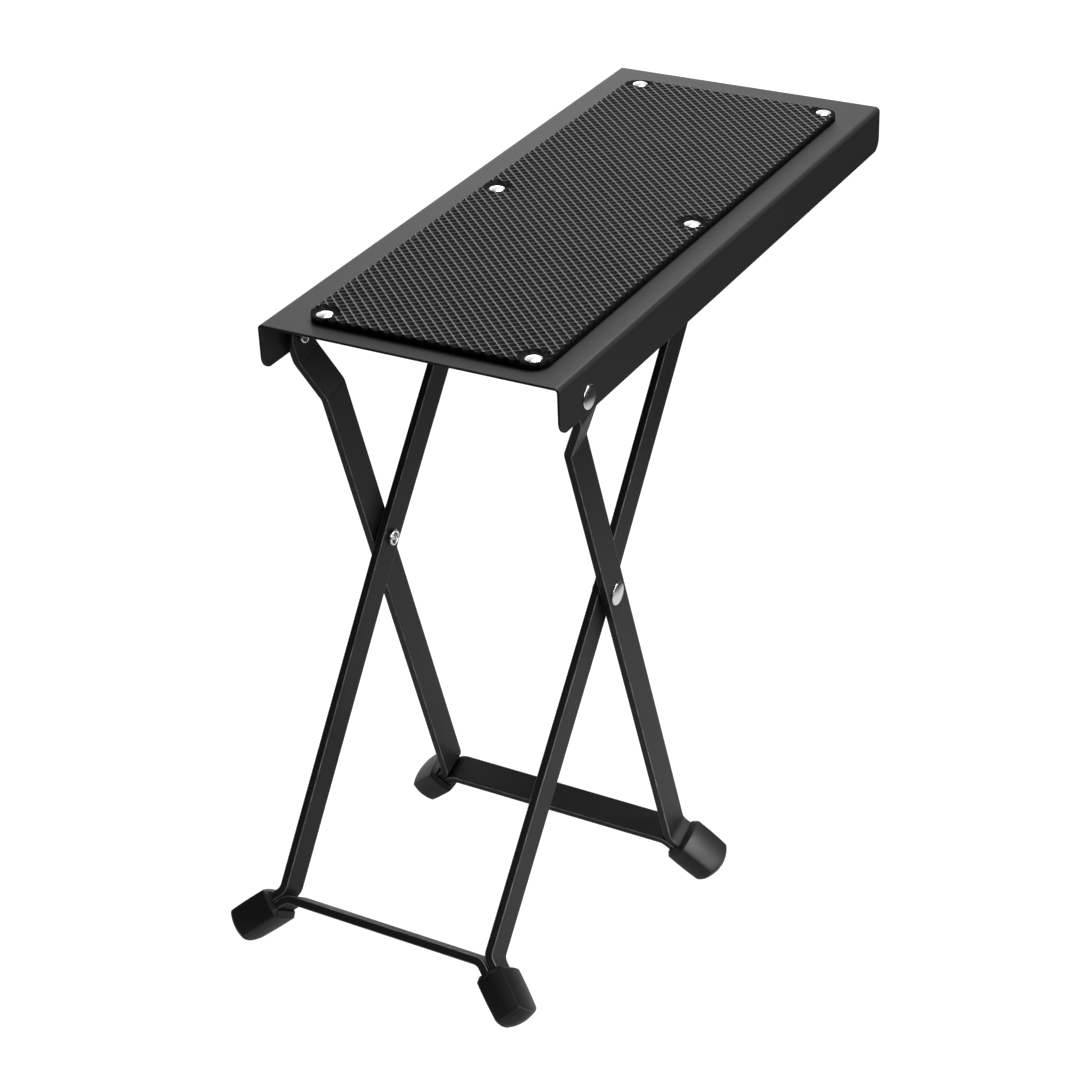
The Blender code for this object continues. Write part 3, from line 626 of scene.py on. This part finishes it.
def platform_mesh():
    """The folded sheet, its flange corners rounded, with the hinge holes."""
    middle = (PLATE_WIDTH - PLATE_SHEET) / 2
    top = PLATE_TOP - PLATE_SHEET / 2
    foot = PLATE_TOP - FLANGE_HEIGHT
    corners = [
        (-middle, foot, 0), (-middle, top, PLATE_BEND), (middle, top, PLATE_BEND),
        (middle, foot, 0)]
    mesh = strip_mesh(
        "platform_sheet", corners, PLATE_SHEET, PLATE_LENGTH, FLANGE_CORNER, PLATE_EDGE)
    stand_up(mesh, PLATE_FRONT + PLATE_LENGTH / 2)
    return cut_holes(mesh, [((0, 0, 0), (1, 0, 0), RIVET_BORE, DRILL_LENGTH)])


def mat_rivet_places():
    """Name and place of each mat rivet in the platform's frame."""
    for row, y in MAT_RIVET_ROWS.items():
        for side_name, side in SIDES.items():
            yield f"{row}_{side_name}", Vector((MAT_SHIFT + side * MAT_RIVET_HALF_SPREAD, y))


def rib_lines():
    """Breakpoints across one rib: (place within a pitch, depth below the crest as a share)."""
    pitch = 1 / math.hypot(1 / RIB_ACROSS, 1 / RIB_ALONG)
    crest = RIB_CREST / 2 / pitch
    wall = (RIB_CREST / 2 + RIB_WALL) / pitch
    return [(-crest, 0.0), (crest, 0.0), (wall, 1.0), (1 - wall, 1.0)]


def ribbed_sheet(bm):
    """The ribbed top as a lattice of two crossing rib families, larger than the mat."""
    lines = rib_lines()
    reach = math.ceil((MAT_REAR - MAT_FRONT) / RIB_ALONG / 2 + MAT_HALF_WIDTH / RIB_ACROSS) + 2
    centre = Vector((MAT_SHIFT, (MAT_FRONT + MAT_REAR) / 2))
    spots = {}

    def vertex(a, b):
        """The lattice point at breakpoints a and b of the two families."""
        if (a, b) not in spots:
            cell_a, line_a = divmod(a, len(lines))
            cell_b, line_b = divmod(b, len(lines))
            share_a, drop_a = lines[line_a]
            share_b, drop_b = lines[line_b]
            u = cell_a + share_a
            v = cell_b + share_b
            x = centre.x + RIB_ACROSS * (u - v) / 2
            y = centre.y + RIB_ALONG * (u + v) / 2
            low_b = SECOND_RIB_DROP + drop_b * (RIB_HEIGHT - SECOND_RIB_DROP)
            drop = min(drop_a * RIB_HEIGHT, low_b)
            spots[a, b] = bm.verts.new((x, y, -drop))
        return spots[a, b]

    def near(a, b):
        """Whether the lattice point lies on the mat or a little past it."""
        u = a / len(lines)
        v = b / len(lines)
        x = abs(RIB_ACROSS * (u - v) / 2)
        y = abs(RIB_ALONG * (u + v) / 2)
        half_length = (MAT_REAR - MAT_FRONT) / 2
        return x < MAT_HALF_WIDTH + RIBS_PAST_MAT and y < half_length + RIBS_PAST_MAT

    for a in range(-reach * len(lines), reach * len(lines)):
        for b in range(-reach * len(lines), reach * len(lines)):
            if not near(a, b):
                continue
            corners = [vertex(a, b), vertex(a + 1, b), vertex(a + 1, b + 1), vertex(a, b + 1)]
            heights = [corner.co.z for corner in corners]
            if max(heights) - min(heights) < SAME_PLACE:
                bm.faces.new(corners)
                continue
            split = heights.index(min(heights)) % 2
            first = corners[split:] + corners[:split]
            bm.faces.new((first[0], first[1], first[2]))
            bm.faces.new((first[2], first[3], first[0]))


def mat_outline(inset):
    """The mat's outline with rounded corners, or one that lies within it."""
    left = MAT_SHIFT - MAT_HALF_WIDTH + inset
    right = MAT_SHIFT + MAT_HALF_WIDTH - inset
    front = MAT_FRONT + inset
    rear = MAT_REAR - inset
    corner = MAT_CORNER - inset
    return bent_path([
        (0, front, 0), (right, front, corner), (right, rear, corner), (left, rear, corner),
        (left, front, corner), (0, front, 0)])[:-1]


def to_border(vert, height):
    """Move a point of the ribbed top's rim out to the mat's wall, at a height."""
    reach = MAT_HALF_WIDTH - MAT_CORNER
    core = Vector((
        max(MAT_SHIFT - reach, min(MAT_SHIFT + reach, vert.co.x)),
        max(MAT_FRONT + MAT_CORNER, min(MAT_REAR - MAT_CORNER, vert.co.y))))
    way = (vert.co.xy - core).normalized()
    vert.co = (*(core + way * MAT_CORNER), height)


def trimmed(bm, outline):
    """Cut a sheet down to a convex outline in XY."""
    for here, following in zip(outline, outline[1:] + outline[:1]):
        along = following - here
        outward = Vector((along.y, -along.x, 0))
        geometry = bm.verts[:] + bm.edges[:] + bm.faces[:]
        bmesh.ops.bisect_plane(
            bm, geom=geometry, plane_co=(here.x, here.y, 0), plane_no=outward,
            clear_outer=True, dist=SAME_PLACE)


def mat_mesh():
    """The moulded mat: crossing ribs on top, sunk round each rivet, with a plain wall."""
    bm = bmesh.new()
    ribbed_sheet(bm)
    trimmed(bm, mat_outline(MAT_BORDER))
    rivets = [spot for _, spot in mat_rivet_places()]
    close = [
        edge for edge in bm.edges
        if any(((edge.verts[0].co.xy + edge.verts[1].co.xy) / 2 - spot).length < DIMPLE_REFINED
               for spot in rivets)]
    bmesh.ops.subdivide_edges(bm, edges=close, cuts=1, use_grid_fill=True)
    for vert in bm.verts:
        vert.co.z += MAT_THICKNESS
        for spot in rivets:
            share = (vert.co.xy - spot).length / DIMPLE_RADIUS
            if share < 1:
                fade = max(0, (share - DIMPLE_FLAT) / (1 - DIMPLE_FLAT))
                press = 1 - fade ** 2 * (3 - 2 * fade)
                vert.co.z += (min(vert.co.z, MAT_RIVET_SEAT) - vert.co.z) * press
    rim = [edge for edge in bm.edges if edge.is_boundary]
    outside = set()
    for height in (MAT_SHOULDER, 0):
        wall = bmesh.ops.extrude_edge_only(bm, edges=rim)["geom"]
        for vert in (part for part in wall if isinstance(part, bmesh.types.BMVert)):
            to_border(vert, height)
            outside.add(vert)
        rim = [part for part in wall if isinstance(part, bmesh.types.BMEdge)]
    bmesh.ops.contextual_create(bm, geom=[edge for edge in bm.edges if edge.is_boundary])
    top = MAT_THICKNESS - RIB_HEIGHT
    bm.verts.index_update()
    # The edge mask is the height above the pocket floor, so the painted highlight falls on the rib
    # crests.
    mask = [
        0.0 if vert in outside else max(0.0, (vert.co.z - top) / RIB_HEIGHT)
        for vert in bm.verts]
    return finished("ribbed_mat", bm, mask)


def dome(radius, crown, rim, steps=10):
    """Profile of a low domed head, crown first, down to its rolled rim."""
    rise = crown - rim
    roll = min(rise, radius) * ROLL_SIZE
    ball = ((radius - roll) ** 2 + (rise - roll) ** 2) / (2 * (rise - roll))
    widest = math.asin((radius - roll) / ball)
    points = [(0, crown)]
    for step in range(1, steps + 1):
        angle = widest * step / steps
        points.append((ball * math.sin(angle), crown - ball * (1 - math.cos(angle))))
    for share in ROLL_SHARES:
        angle = widest + (math.pi / 2 - widest) * share
        points.append((
            radius - roll + roll * (math.sin(angle) - math.sin(widest)) / (1 - math.sin(widest)),
            rim + roll * math.cos(angle) / math.cos(widest)))
    return points


def build_platform():
    """The sheet, the mat with its rivets and the two notched rails."""
    place("platform_sheet", platform_mesh(), PLATFORM, "platform", "plate_coat", "platform")
    plate_top = PLATFORM @ Matrix.Translation((0, 0, PLATE_TOP + MAT_LIFT))
    place(
        "ribbed_mat", mat_mesh(), plate_top, "platform", "mat_rubber", "rubber_pad",
        weighted=False)
    seat = MAT_RIVET_SEAT
    for name, spot in mat_rivet_places():
        under = -PLATE_SHEET if "front" in name else -PLATE_SHEET - RAIL_SHEET - SEAT
        profile = [
            *dome(MAT_RIVET_RADIUS, MAT_RIVET_CROWN + seat, seat + RIM),
            (MAT_RIVET_FOOT, seat - MAT_RIVET_SINK), (MAT_RIVET_SHANK, seat - MAT_RIVET_SINK),
            (MAT_RIVET_SHANK, under),
            *((radius, under - depth) for radius, depth in MAT_RIVET_TAIL)]
        at = plate_top @ Matrix.Translation((*spot, 0))
        place(
            "mat_rivet_" + name, turned_mesh("mat_rivet", profile), at, "platform",
            "rivet_metal", "pad_rivet_" + name)
    for side_name, side in SIDES.items():
        place(
            "notched_rail_" + side_name, rail_mesh(side), PLATFORM, "platform", "plate_coat",
            "height_rail_" + side_name)


def rail_mesh(side):
    """An L rail with round notches along the lower edge of its web."""
    top = PLATE_TOP - PLATE_SHEET - SEAT - RAIL_SHEET / 2
    web = side * (RAIL_WEB + RAIL_SHEET / 2)
    corners = [(web, TOOTH_TIP, 0), (web, top, RAIL_BEND), (side * RAIL_OUTER, top, 0)]
    length = RAIL_REAR - RAIL_FRONT
    mesh = strip_mesh("notched_rail", corners, RAIL_SHEET, length, 0, RAIL_EDGE)
    stand_up(mesh, (RAIL_FRONT + RAIL_REAR) / 2)
    notches = [HINGE_TO_ROD + number * NOTCH_PITCH for number in range(NOTCH_COUNT)]
    return cut_holes(mesh, [
        ((web, y, NOTCH_CENTRE), (1, 0, 0), NOTCH_RADIUS, NOTCH_CUT) for y in notches])


# Leg frames

def ear_corners(half_width, crossbar):
    """Root and way of the right hairpin ear, and its centre line from leg to crossbar."""
    offset = EAR_HALF_PITCH * math.sin(EAR_TURN)
    leg_x = half_width - BAR / 2
    bar_y = -crossbar + BAR / 2
    start = Vector((leg_x - offset, bar_y + offset))
    along = Vector((math.sin(EAR_TURN), -math.cos(EAR_TURN)))
    across = Vector((math.cos(EAR_TURN), math.sin(EAR_TURN))) * EAR_HALF_PITCH
    tip = start + along * (EAR_LENGTH - BAR / 2)
    return start, along, [
        (leg_x, start.y + across.y, BAR_BEND),
        (*(tip + across), EAR_HALF_PITCH),
        (*(tip - across), EAR_HALF_PITCH),
        (start.x - across.x, bar_y, BAR_BEND)]


def leg_frame_mesh(name, upper, ear, holes):
    """A U frame of flat bar from the right leg's corners, mirrored to the left, and bored."""
    right = [*upper, *ear]
    left = [(-x, y, radius) for x, y, radius in reversed(right)]
    mesh = strip_mesh(name, right + left, BAR, BAR_WIDTH, BAR_END_ROUND, BAR_EDGE)
    return cut_holes(mesh, [((0, y, 0), (1, 0, 0), RIVET_BORE, DRILL_LENGTH) for y in holes])


def cap_section():
    """Outline of a foot's section at its widest: four bulging sides with crisp corners."""
    corner_x = CAP_HALF_WIDTH - CAP_BULGE
    corner_z = CAP_HALF_DEPTH - CAP_BULGE
    spots = []
    for turn, (half, other) in enumerate(
            [(CAP_HALF_WIDTH, corner_z), (CAP_HALF_DEPTH, corner_x)] * 2):
        for step in range(-CAP_SIDE_STEPS, CAP_SIDE_STEPS + 1):
            share = step / CAP_SIDE_STEPS * CAP_CORNER_START
            spot = Vector((half - CAP_BULGE * share ** 2, other * share))
            spots.append(Matrix.Rotation(math.pi / 2 * turn, 2) @ spot)
    return spots


def toe_drop(x, z):
    """How far the domed toe falls away from its crown."""
    return (
        CAP_TOE_DROP_WIDTH * (x / CAP_HALF_WIDTH) ** 2
        + CAP_TOE_DROP_DEPTH * (z / CAP_HALF_DEPTH) ** 2)


def belly_inset(share):
    """How far a foot's sides stand in from its belly, at a share of its length."""
    if share < CAP_WIDEST:
        return CAP_MOUTH_NARROW * (1 - share / CAP_WIDEST) ** 2
    return CAP_TOE_NARROW * ((share - CAP_WIDEST) / (1 - CAP_WIDEST)) ** 2


def cap_mesh(at):
    """A rubber foot with its mouth at Y = 0 and a domed toe, flattened where it meets the floor.
    """
    section = cap_section()
    pocket_x = EAR_HALF_PITCH + BAR / 2 + SEAT
    pocket_z = BAR_WIDTH / 2 + SEAT
    pocket_end = EAR_LENGTH - CAP_START + SEAT
    bm = bmesh.new()
    rings = []
    mask = {}

    def add_ring(places, edge):
        """A closed ring of points with its value of the edge mask."""
        rings.append([bm.verts.new(spot) for spot in places])
        mask.update(dict.fromkeys(rings[-1], edge))

    def ring(level, inset=0.0, scale=1.0, edge=0.0, share=1.0):
        """A ring of the outside. Level is a place along Y, or a function of the spot."""
        places = []
        narrow = inset + belly_inset(share)
        for spot in section:
            x, z = spot * scale * (1 - narrow / spot.length)
            places.append((x, level(x, z) if callable(level) else level, z))
        add_ring(places, edge)

    def pocket(level, grow=0.0, edge=0.0):
        """A ring of the pocket, a box."""
        places = []
        for spot in section:
            x = max(-pocket_x - grow, min(pocket_x + grow, spot.x * POCKET_SPREAD))
            z = max(-pocket_z - grow, min(pocket_z + grow, spot.y * POCKET_SPREAD))
            places.append((x, level, z))
        add_ring(places, edge)

    def toe(short, share=1.0):
        """The level of a ring that stays short of the domed toe, at a share of the way."""
        return lambda x, z: (CAP_LENGTH - toe_drop(x, z) - short) * share

    pocket(pocket_end)
    pocket(CAP_MOUTH_ROUND)
    pocket(0.0, CAP_MOUTH_ROUND, edge=0.6)
    pocket(0.0, CAP_MOUTH_LIP, edge=0.6)
    # The mouth's crest ring and the toe's crest ring take 1 in the edge mask, which paints
    # highlight lines on them.
    ring(CAP_MOUTH_CHAMFER - CAP_EDGE_STEP, CAP_EDGE_INSET, edge=0.5, share=CAP_MOUTH_SHARE)
    ring(CAP_MOUTH_CHAMFER, CAP_EDGE_CREST, edge=1.0, share=CAP_MOUTH_SHARE)
    ring(CAP_MOUTH_CHAMFER + CAP_EDGE_STEP, edge=0.5, share=CAP_MOUTH_SHARE)
    ring(CAP_MOUTH_CHAMFER + CAP_SIDE_START, share=CAP_SIDE_START_SHARE)
    for share in CAP_SIDE_SHARES:
        ring(toe(CAP_TOE_EDGE, share), share=share)
    ring(toe(CAP_TOE_EDGE), edge=0.4)
    ring(toe(CAP_TOE_CREST), CAP_EDGE_INSET, edge=1.0)
    ring(toe(0.0), CAP_TOE_EDGE, edge=0.5)
    for scale in CAP_TOE_SCALES:
        ring(toe(0.0), scale=scale)
    for below, above in zip(rings, rings[1:]):
        for i in range(len(below)):
            j = (i + 1) % len(below)
            bm.faces.new((below[i], below[j], above[j], above[i]))
    bm.faces.new(rings[0])
    bm.faces.new(rings[-1])
    bmesh.ops.remove_doubles(bm, verts=bm.verts, dist=SAME_PLACE)
    floor = at.inverted()
    down = floor.to_3x3() @ Vector((0, 0, -1))
    bmesh.ops.bisect_plane(
        bm, geom=bm.verts[:] + bm.edges[:] + bm.faces[:], plane_co=floor.translation,
        plane_no=down, clear_outer=True, dist=SAME_PLACE)
    bmesh.ops.holes_fill(bm, edges=[edge for edge in bm.edges if edge.is_boundary])
    return finished("rubber_foot", bm, [mask.get(vert, 0.0) for vert in bm.verts])


def build_feet(end, body, at, start, along):
    """The two rubber feet of a leg frame."""
    for side_name, side in SIDES.items():
        spot = start + along * CAP_START
        turn = -side * (math.pi - EAR_TURN)
        here = at @ Matrix.Translation((side * spot.x, spot.y, 0)) @ Matrix.Rotation(turn, 4, "Z")
        place(
            f"rubber_foot_{end}_{side_name}", cap_mesh(here), here, body, "cap_rubber",
            f"foot_cap_{end}_{side_name}")


def build_outer_frame():
    """The frame that hangs on the platform's flanges and stands at the rear."""
    start, along, ear = ear_corners(OUTER_AT_FOOT, OUTER_CROSSBAR)
    slope = (OUTER_AT_FOOT - OUTER_AT_PIVOT) / OUTER_CROSSBAR
    top_x = FLANGE_INNER_HALF - SEAT - BAR / 2
    upper = [
        (top_x, PIVOT_TO_HINGE + BAR_PAST_RIVET, 0), (top_x, JOG_UPPER, BAR_BEND),
        (OUTER_AT_PIVOT - BAR / 2 - slope * JOG_LOWER, JOG_LOWER, BAR_BEND)]
    mesh = leg_frame_mesh("outer_leg_frame", upper, ear, [PIVOT_TO_HINGE, 0])
    place("outer_leg_frame", mesh, OUTER, "outer_frame", "bar_coat", "outer_frame")
    build_feet("rear", "outer_frame", OUTER, start, along)


def build_inner_frame():
    """The frame that carries the cross rod and stands at the front."""
    start, along, ear = ear_corners(INNER_AT_FOOT, INNER_CROSSBAR)
    upper = [
        (INNER_AT_ROD - BAR / 2, PIVOT_TO_ROD + BAR_PAST_RIVET, 0),
        (INNER_AT_PIVOT - BAR / 2, 0, BAR_BEND)]
    mesh = leg_frame_mesh("inner_leg_frame", upper, ear, [PIVOT_TO_ROD, 0])
    place("inner_leg_frame", mesh, INNER, "inner_frame", "bar_coat", "inner_frame")
    build_feet("front", "inner_frame", INNER, start, along)


# Rivets, washers and rod

def side_rivet_mesh(length, tail_radius):
    """A tubular rivet: thin domed head, shank and rolled tail with its open bore."""
    end = -length - TAIL_LENGTH
    tail = rounded([
        (RIVET_SHANK, -length), (tail_radius, -length), (tail_radius, end),
        (TUBE_MOUTH, end), (TUBE_END, end + TUBE_DEPTH), (0, end + TUBE_DEPTH)], TAIL_ROUND)
    profile = [
        *dome(RIVET_HEAD, RIVET_CROWN, RIM, steps=14), (RIVET_HEAD * HEAD_WAIST_SHARE, RIM / 3),
        (RIVET_HEAD * HEAD_FOOT_SHARE, 0), (RIVET_SHANK, 0), *tail]
    return turned_mesh("side_rivet", profile, SIDE_RIVET_SEGMENTS)


def build_pivots():
    """The platform's hinge rivets, the scissor rivets and the washers between the frames."""
    inside_leg = FLANGE_INNER_HALF - SEAT - BAR
    for side_name, side in SIDES.items():
        across = Matrix.Rotation(side * math.pi / 2, 4, "Y")
        head = PLATE_WIDTH / 2 + HEAD_LIFT
        at = PLATFORM @ Matrix.Translation((side * head, 0, 0)) @ across
        mesh = side_rivet_mesh(head - inside_leg + SEAT, HINGE_RIVET_TAIL)
        place(
            "hinge_rivet_" + side_name, mesh, at, "platform", "rivet_metal",
            "platform_hinge_rivet_" + side_name)
        head = OUTER_AT_PIVOT + HEAD_LIFT
        length = head - INNER_AT_PIVOT + BAR + SEAT
        at = OUTER @ Matrix.Translation((side * head, 0, 0)) @ across
        place(
            "pivot_rivet_" + side_name, side_rivet_mesh(length, RIVET_TAIL), at, "outer_frame",
            "rivet_metal", "scissor_rivet_" + side_name)
        middle = (INNER_AT_PIVOT + OUTER_AT_PIVOT - BAR) / 2
        half = WASHER_THICK / 2
        flat = WASHER - WASHER_EDGE
        ring = [
            (flat, half), (WASHER, half - WASHER_EDGE), (WASHER, WASHER_EDGE - half),
            (flat, -half), (RIVET_BORE, -half), (RIVET_BORE, half), (flat, half)]
        at = OUTER @ Matrix.Translation((side * middle, 0, 0)) @ across
        place(
            "spacer_washer_" + side_name, turned_mesh("spacer_washer", ring), at, "outer_frame",
            "rivet_metal", "scissor_washer_" + side_name)


def build_rod():
    """The turned cross rod, its ends riveted over on the outside of the inner frame."""
    face = INNER_AT_ROD + SEAT / 2
    body = INNER_AT_ROD - BAR - SEAT
    half = [
        *dome(ROD_HEAD, face + ROD_HEAD_CROWN, face + ROD_HEAD_RIM, steps=8),
        (ROD_HEAD, face + RIM), (ROD_HEAD * HEAD_FOOT_SHARE, face), (RIVET_SHANK, face),
        (RIVET_SHANK, body), (ROD - ROD_EDGE, body), (ROD, body - ROD_EDGE)]
    profile = half + [(radius, -height) for radius, height in reversed(half)]
    at = INNER @ Matrix.Translation((0, PIVOT_TO_ROD, 0)) @ Matrix.Rotation(math.pi / 2, 4, "Y")
    place(
        "turned_cross_rod", turned_mesh("turned_cross_rod", profile), at, "inner_frame",
        "rod_metal", "cross_rod")


# Studio

def build_floor():
    """A wide white floor that keeps a soft shadow and shows nothing from below, with a painted
    pool of light near the object.
    """
    mesh = bpy.data.meshes.new("studio_floor")
    half = FLOOR_HALF
    spots = [(-half, -half, 0), (half, -half, 0), (half, half, 0), (-half, half, 0)]
    mesh.from_pydata(spots, [], [(0, 1, 2, 3)])
    floor = bpy.data.objects.new("studio_floor", mesh)
    floor.location.z = -FLOOR_DROP
    bpy.context.scene.collection.objects.link(floor)
    material = bpy.data.materials.new("white_floor")
    finish = Finish(material)
    tree = finish.tree
    tree.nodes.remove(tree.nodes["Principled BSDF"])
    camera_ray = finish.node("LightPath", {}, {}, "Is Camera Ray")
    points = finish.node("TexCoord", {}, {}, "Object")

    def distance(x, y):
        """How far a point of the floor is from a place on it."""
        return finish.node(
            "VectorMath", {"operation": "DISTANCE"}, {0: points, 1: (x, y, 0)}, "Value")

    # A painted pool of light: near the object the floor is paler for light that bounces off it.
    painted_light_pool = 1 - finish.ramp(distance(0.06, 0.1), 0.2, 0.55)
    far = finish.ramp(distance(0, 0), 0.25, 0.65)
    shade = (camera_ray * 0.9 + painted_light_pool * 0.35 + 0.03).clamped()
    colour = finish.mix(shade, (0, 0, 0), (0.9, 0.9, 0.9))
    lit = finish.node("BsdfDiffuse", {}, {"Color": colour}, "BSDF")
    glow = finish.node(
        "Emission", {}, {"Color": (1, 1, 1), "Strength": FLOOR_GLOW}, "Emission")
    glossy_ray = finish.node("LightPath", {}, {}, "Is Glossy Ray")
    # Glossy rays see the floor glowing near the object: painted light in reflections.
    share = camera_ray * (far * 0.12 + 0.88) + glossy_ray * painted_light_pool * 0.2
    seen = finish.node("MixShader", {}, {0: share.clamped(), 1: lit, 2: glow}, "Shader")
    below = finish.node("NewGeometry", {}, {}, "Backfacing")
    clear = finish.node("BsdfTransparent", {}, {}, "BSDF")
    both = finish.node("MixShader", {}, {0: below, 1: seen, 2: clear}, "Shader")
    tree.links.new(both.output, tree.nodes["Material Output"].inputs["Surface"])
    mesh.materials.append(material)


def build_world():
    """A white background for the camera alone, and a darker room that lights the object."""
    world = bpy.data.worlds.new("studio_room")
    bpy.context.scene.world = world
    finish = Finish(world)
    direction = finish.node("TexCoord", {}, {}, "Generated")

    def toward(x, y, z, low):
        """Light that fills the room in one direction and fades out around it."""
        lean = finish.node(
            "VectorMath", {"operation": "DOT_PRODUCT"}, {0: direction, 1: (x, y, z)}, "Value")
        return finish.ramp(lean, low, 1.0)

    backdrop = toward(-0.5, 0.7, 0.5, 0.6) * 0.9
    side_window = toward(0.9, 0.42, 0.1, 0.9) * 3.2
    front_glow = toward(0.3, -0.6, 0.75, 0.68) * 0.7
    room = backdrop + side_window + front_glow + ROOM_DIM
    camera_ray = finish.node("LightPath", {}, {}, "Is Camera Ray")
    strength = camera_ray + (1 - camera_ray) * room
    background = finish.tree.nodes["Background"]
    background.inputs["Color"].default_value = (1, 1, 1, 1)
    finish.feed(background.inputs["Strength"], strength)


def softbox(name, toward, distance, width, height, watts, middle=(0, 0, 0.15), spread=180):
    """A soft area lamp that looks at a point, the middle of the object if none is named."""
    lamp = bpy.data.lights.new(name, "AREA")
    lamp.shape = "RECTANGLE"
    lamp.size = width
    lamp.size_y = height
    lamp.energy = watts
    lamp.spread = math.radians(spread)
    holder = bpy.data.objects.new(name, lamp)
    way = Vector(toward).normalized()
    holder.location = Vector(middle) + way * distance
    holder.rotation_euler = way.to_track_quat("Z", "Y").to_euler()
    bpy.context.scene.collection.objects.link(holder)


def build_camera():
    """The camera at the photograph's place, angle and lens."""
    lens = bpy.data.cameras.new("photo_camera")
    lens.lens = LENS_MM
    lens.sensor_width = SENSOR_MM
    camera = bpy.data.objects.new("photo_camera", lens)
    turn = Matrix((CAMERA_RIGHT, CAMERA_UP, CAMERA_BACK)).transposed().to_4x4()
    camera.matrix_world = Matrix.Translation(CAMERA_PLACE) @ turn
    bpy.context.scene.collection.objects.link(camera)
    bpy.context.scene.camera = camera


build_platform()
build_outer_frame()
build_inner_frame()
build_pivots()
build_rod()
build_floor()
build_world()
softbox(
    "overhead_softbox", toward=(0.05, 0.2, 0.97), distance=1.2, width=0.6, height=0.6, watts=21)
softbox(
    "rear_softbox", toward=(-0.55, 0.75, 0.36), distance=0.8, width=0.35, height=0.35, watts=0.9)
softbox(
    "right_softbox", toward=(0.9, -0.36, 0.26), distance=1.2, width=0.15, height=0.5, watts=2.8)
softbox(
    "low_spot", toward=(0.77, 0.02, 0.6), distance=1.2, width=0.12, height=0.12, watts=0.115,
    middle=(0.066, 0.02, 0.012), spread=20)
build_camera()
bpy.context.scene.view_settings.view_transform = "Standard"
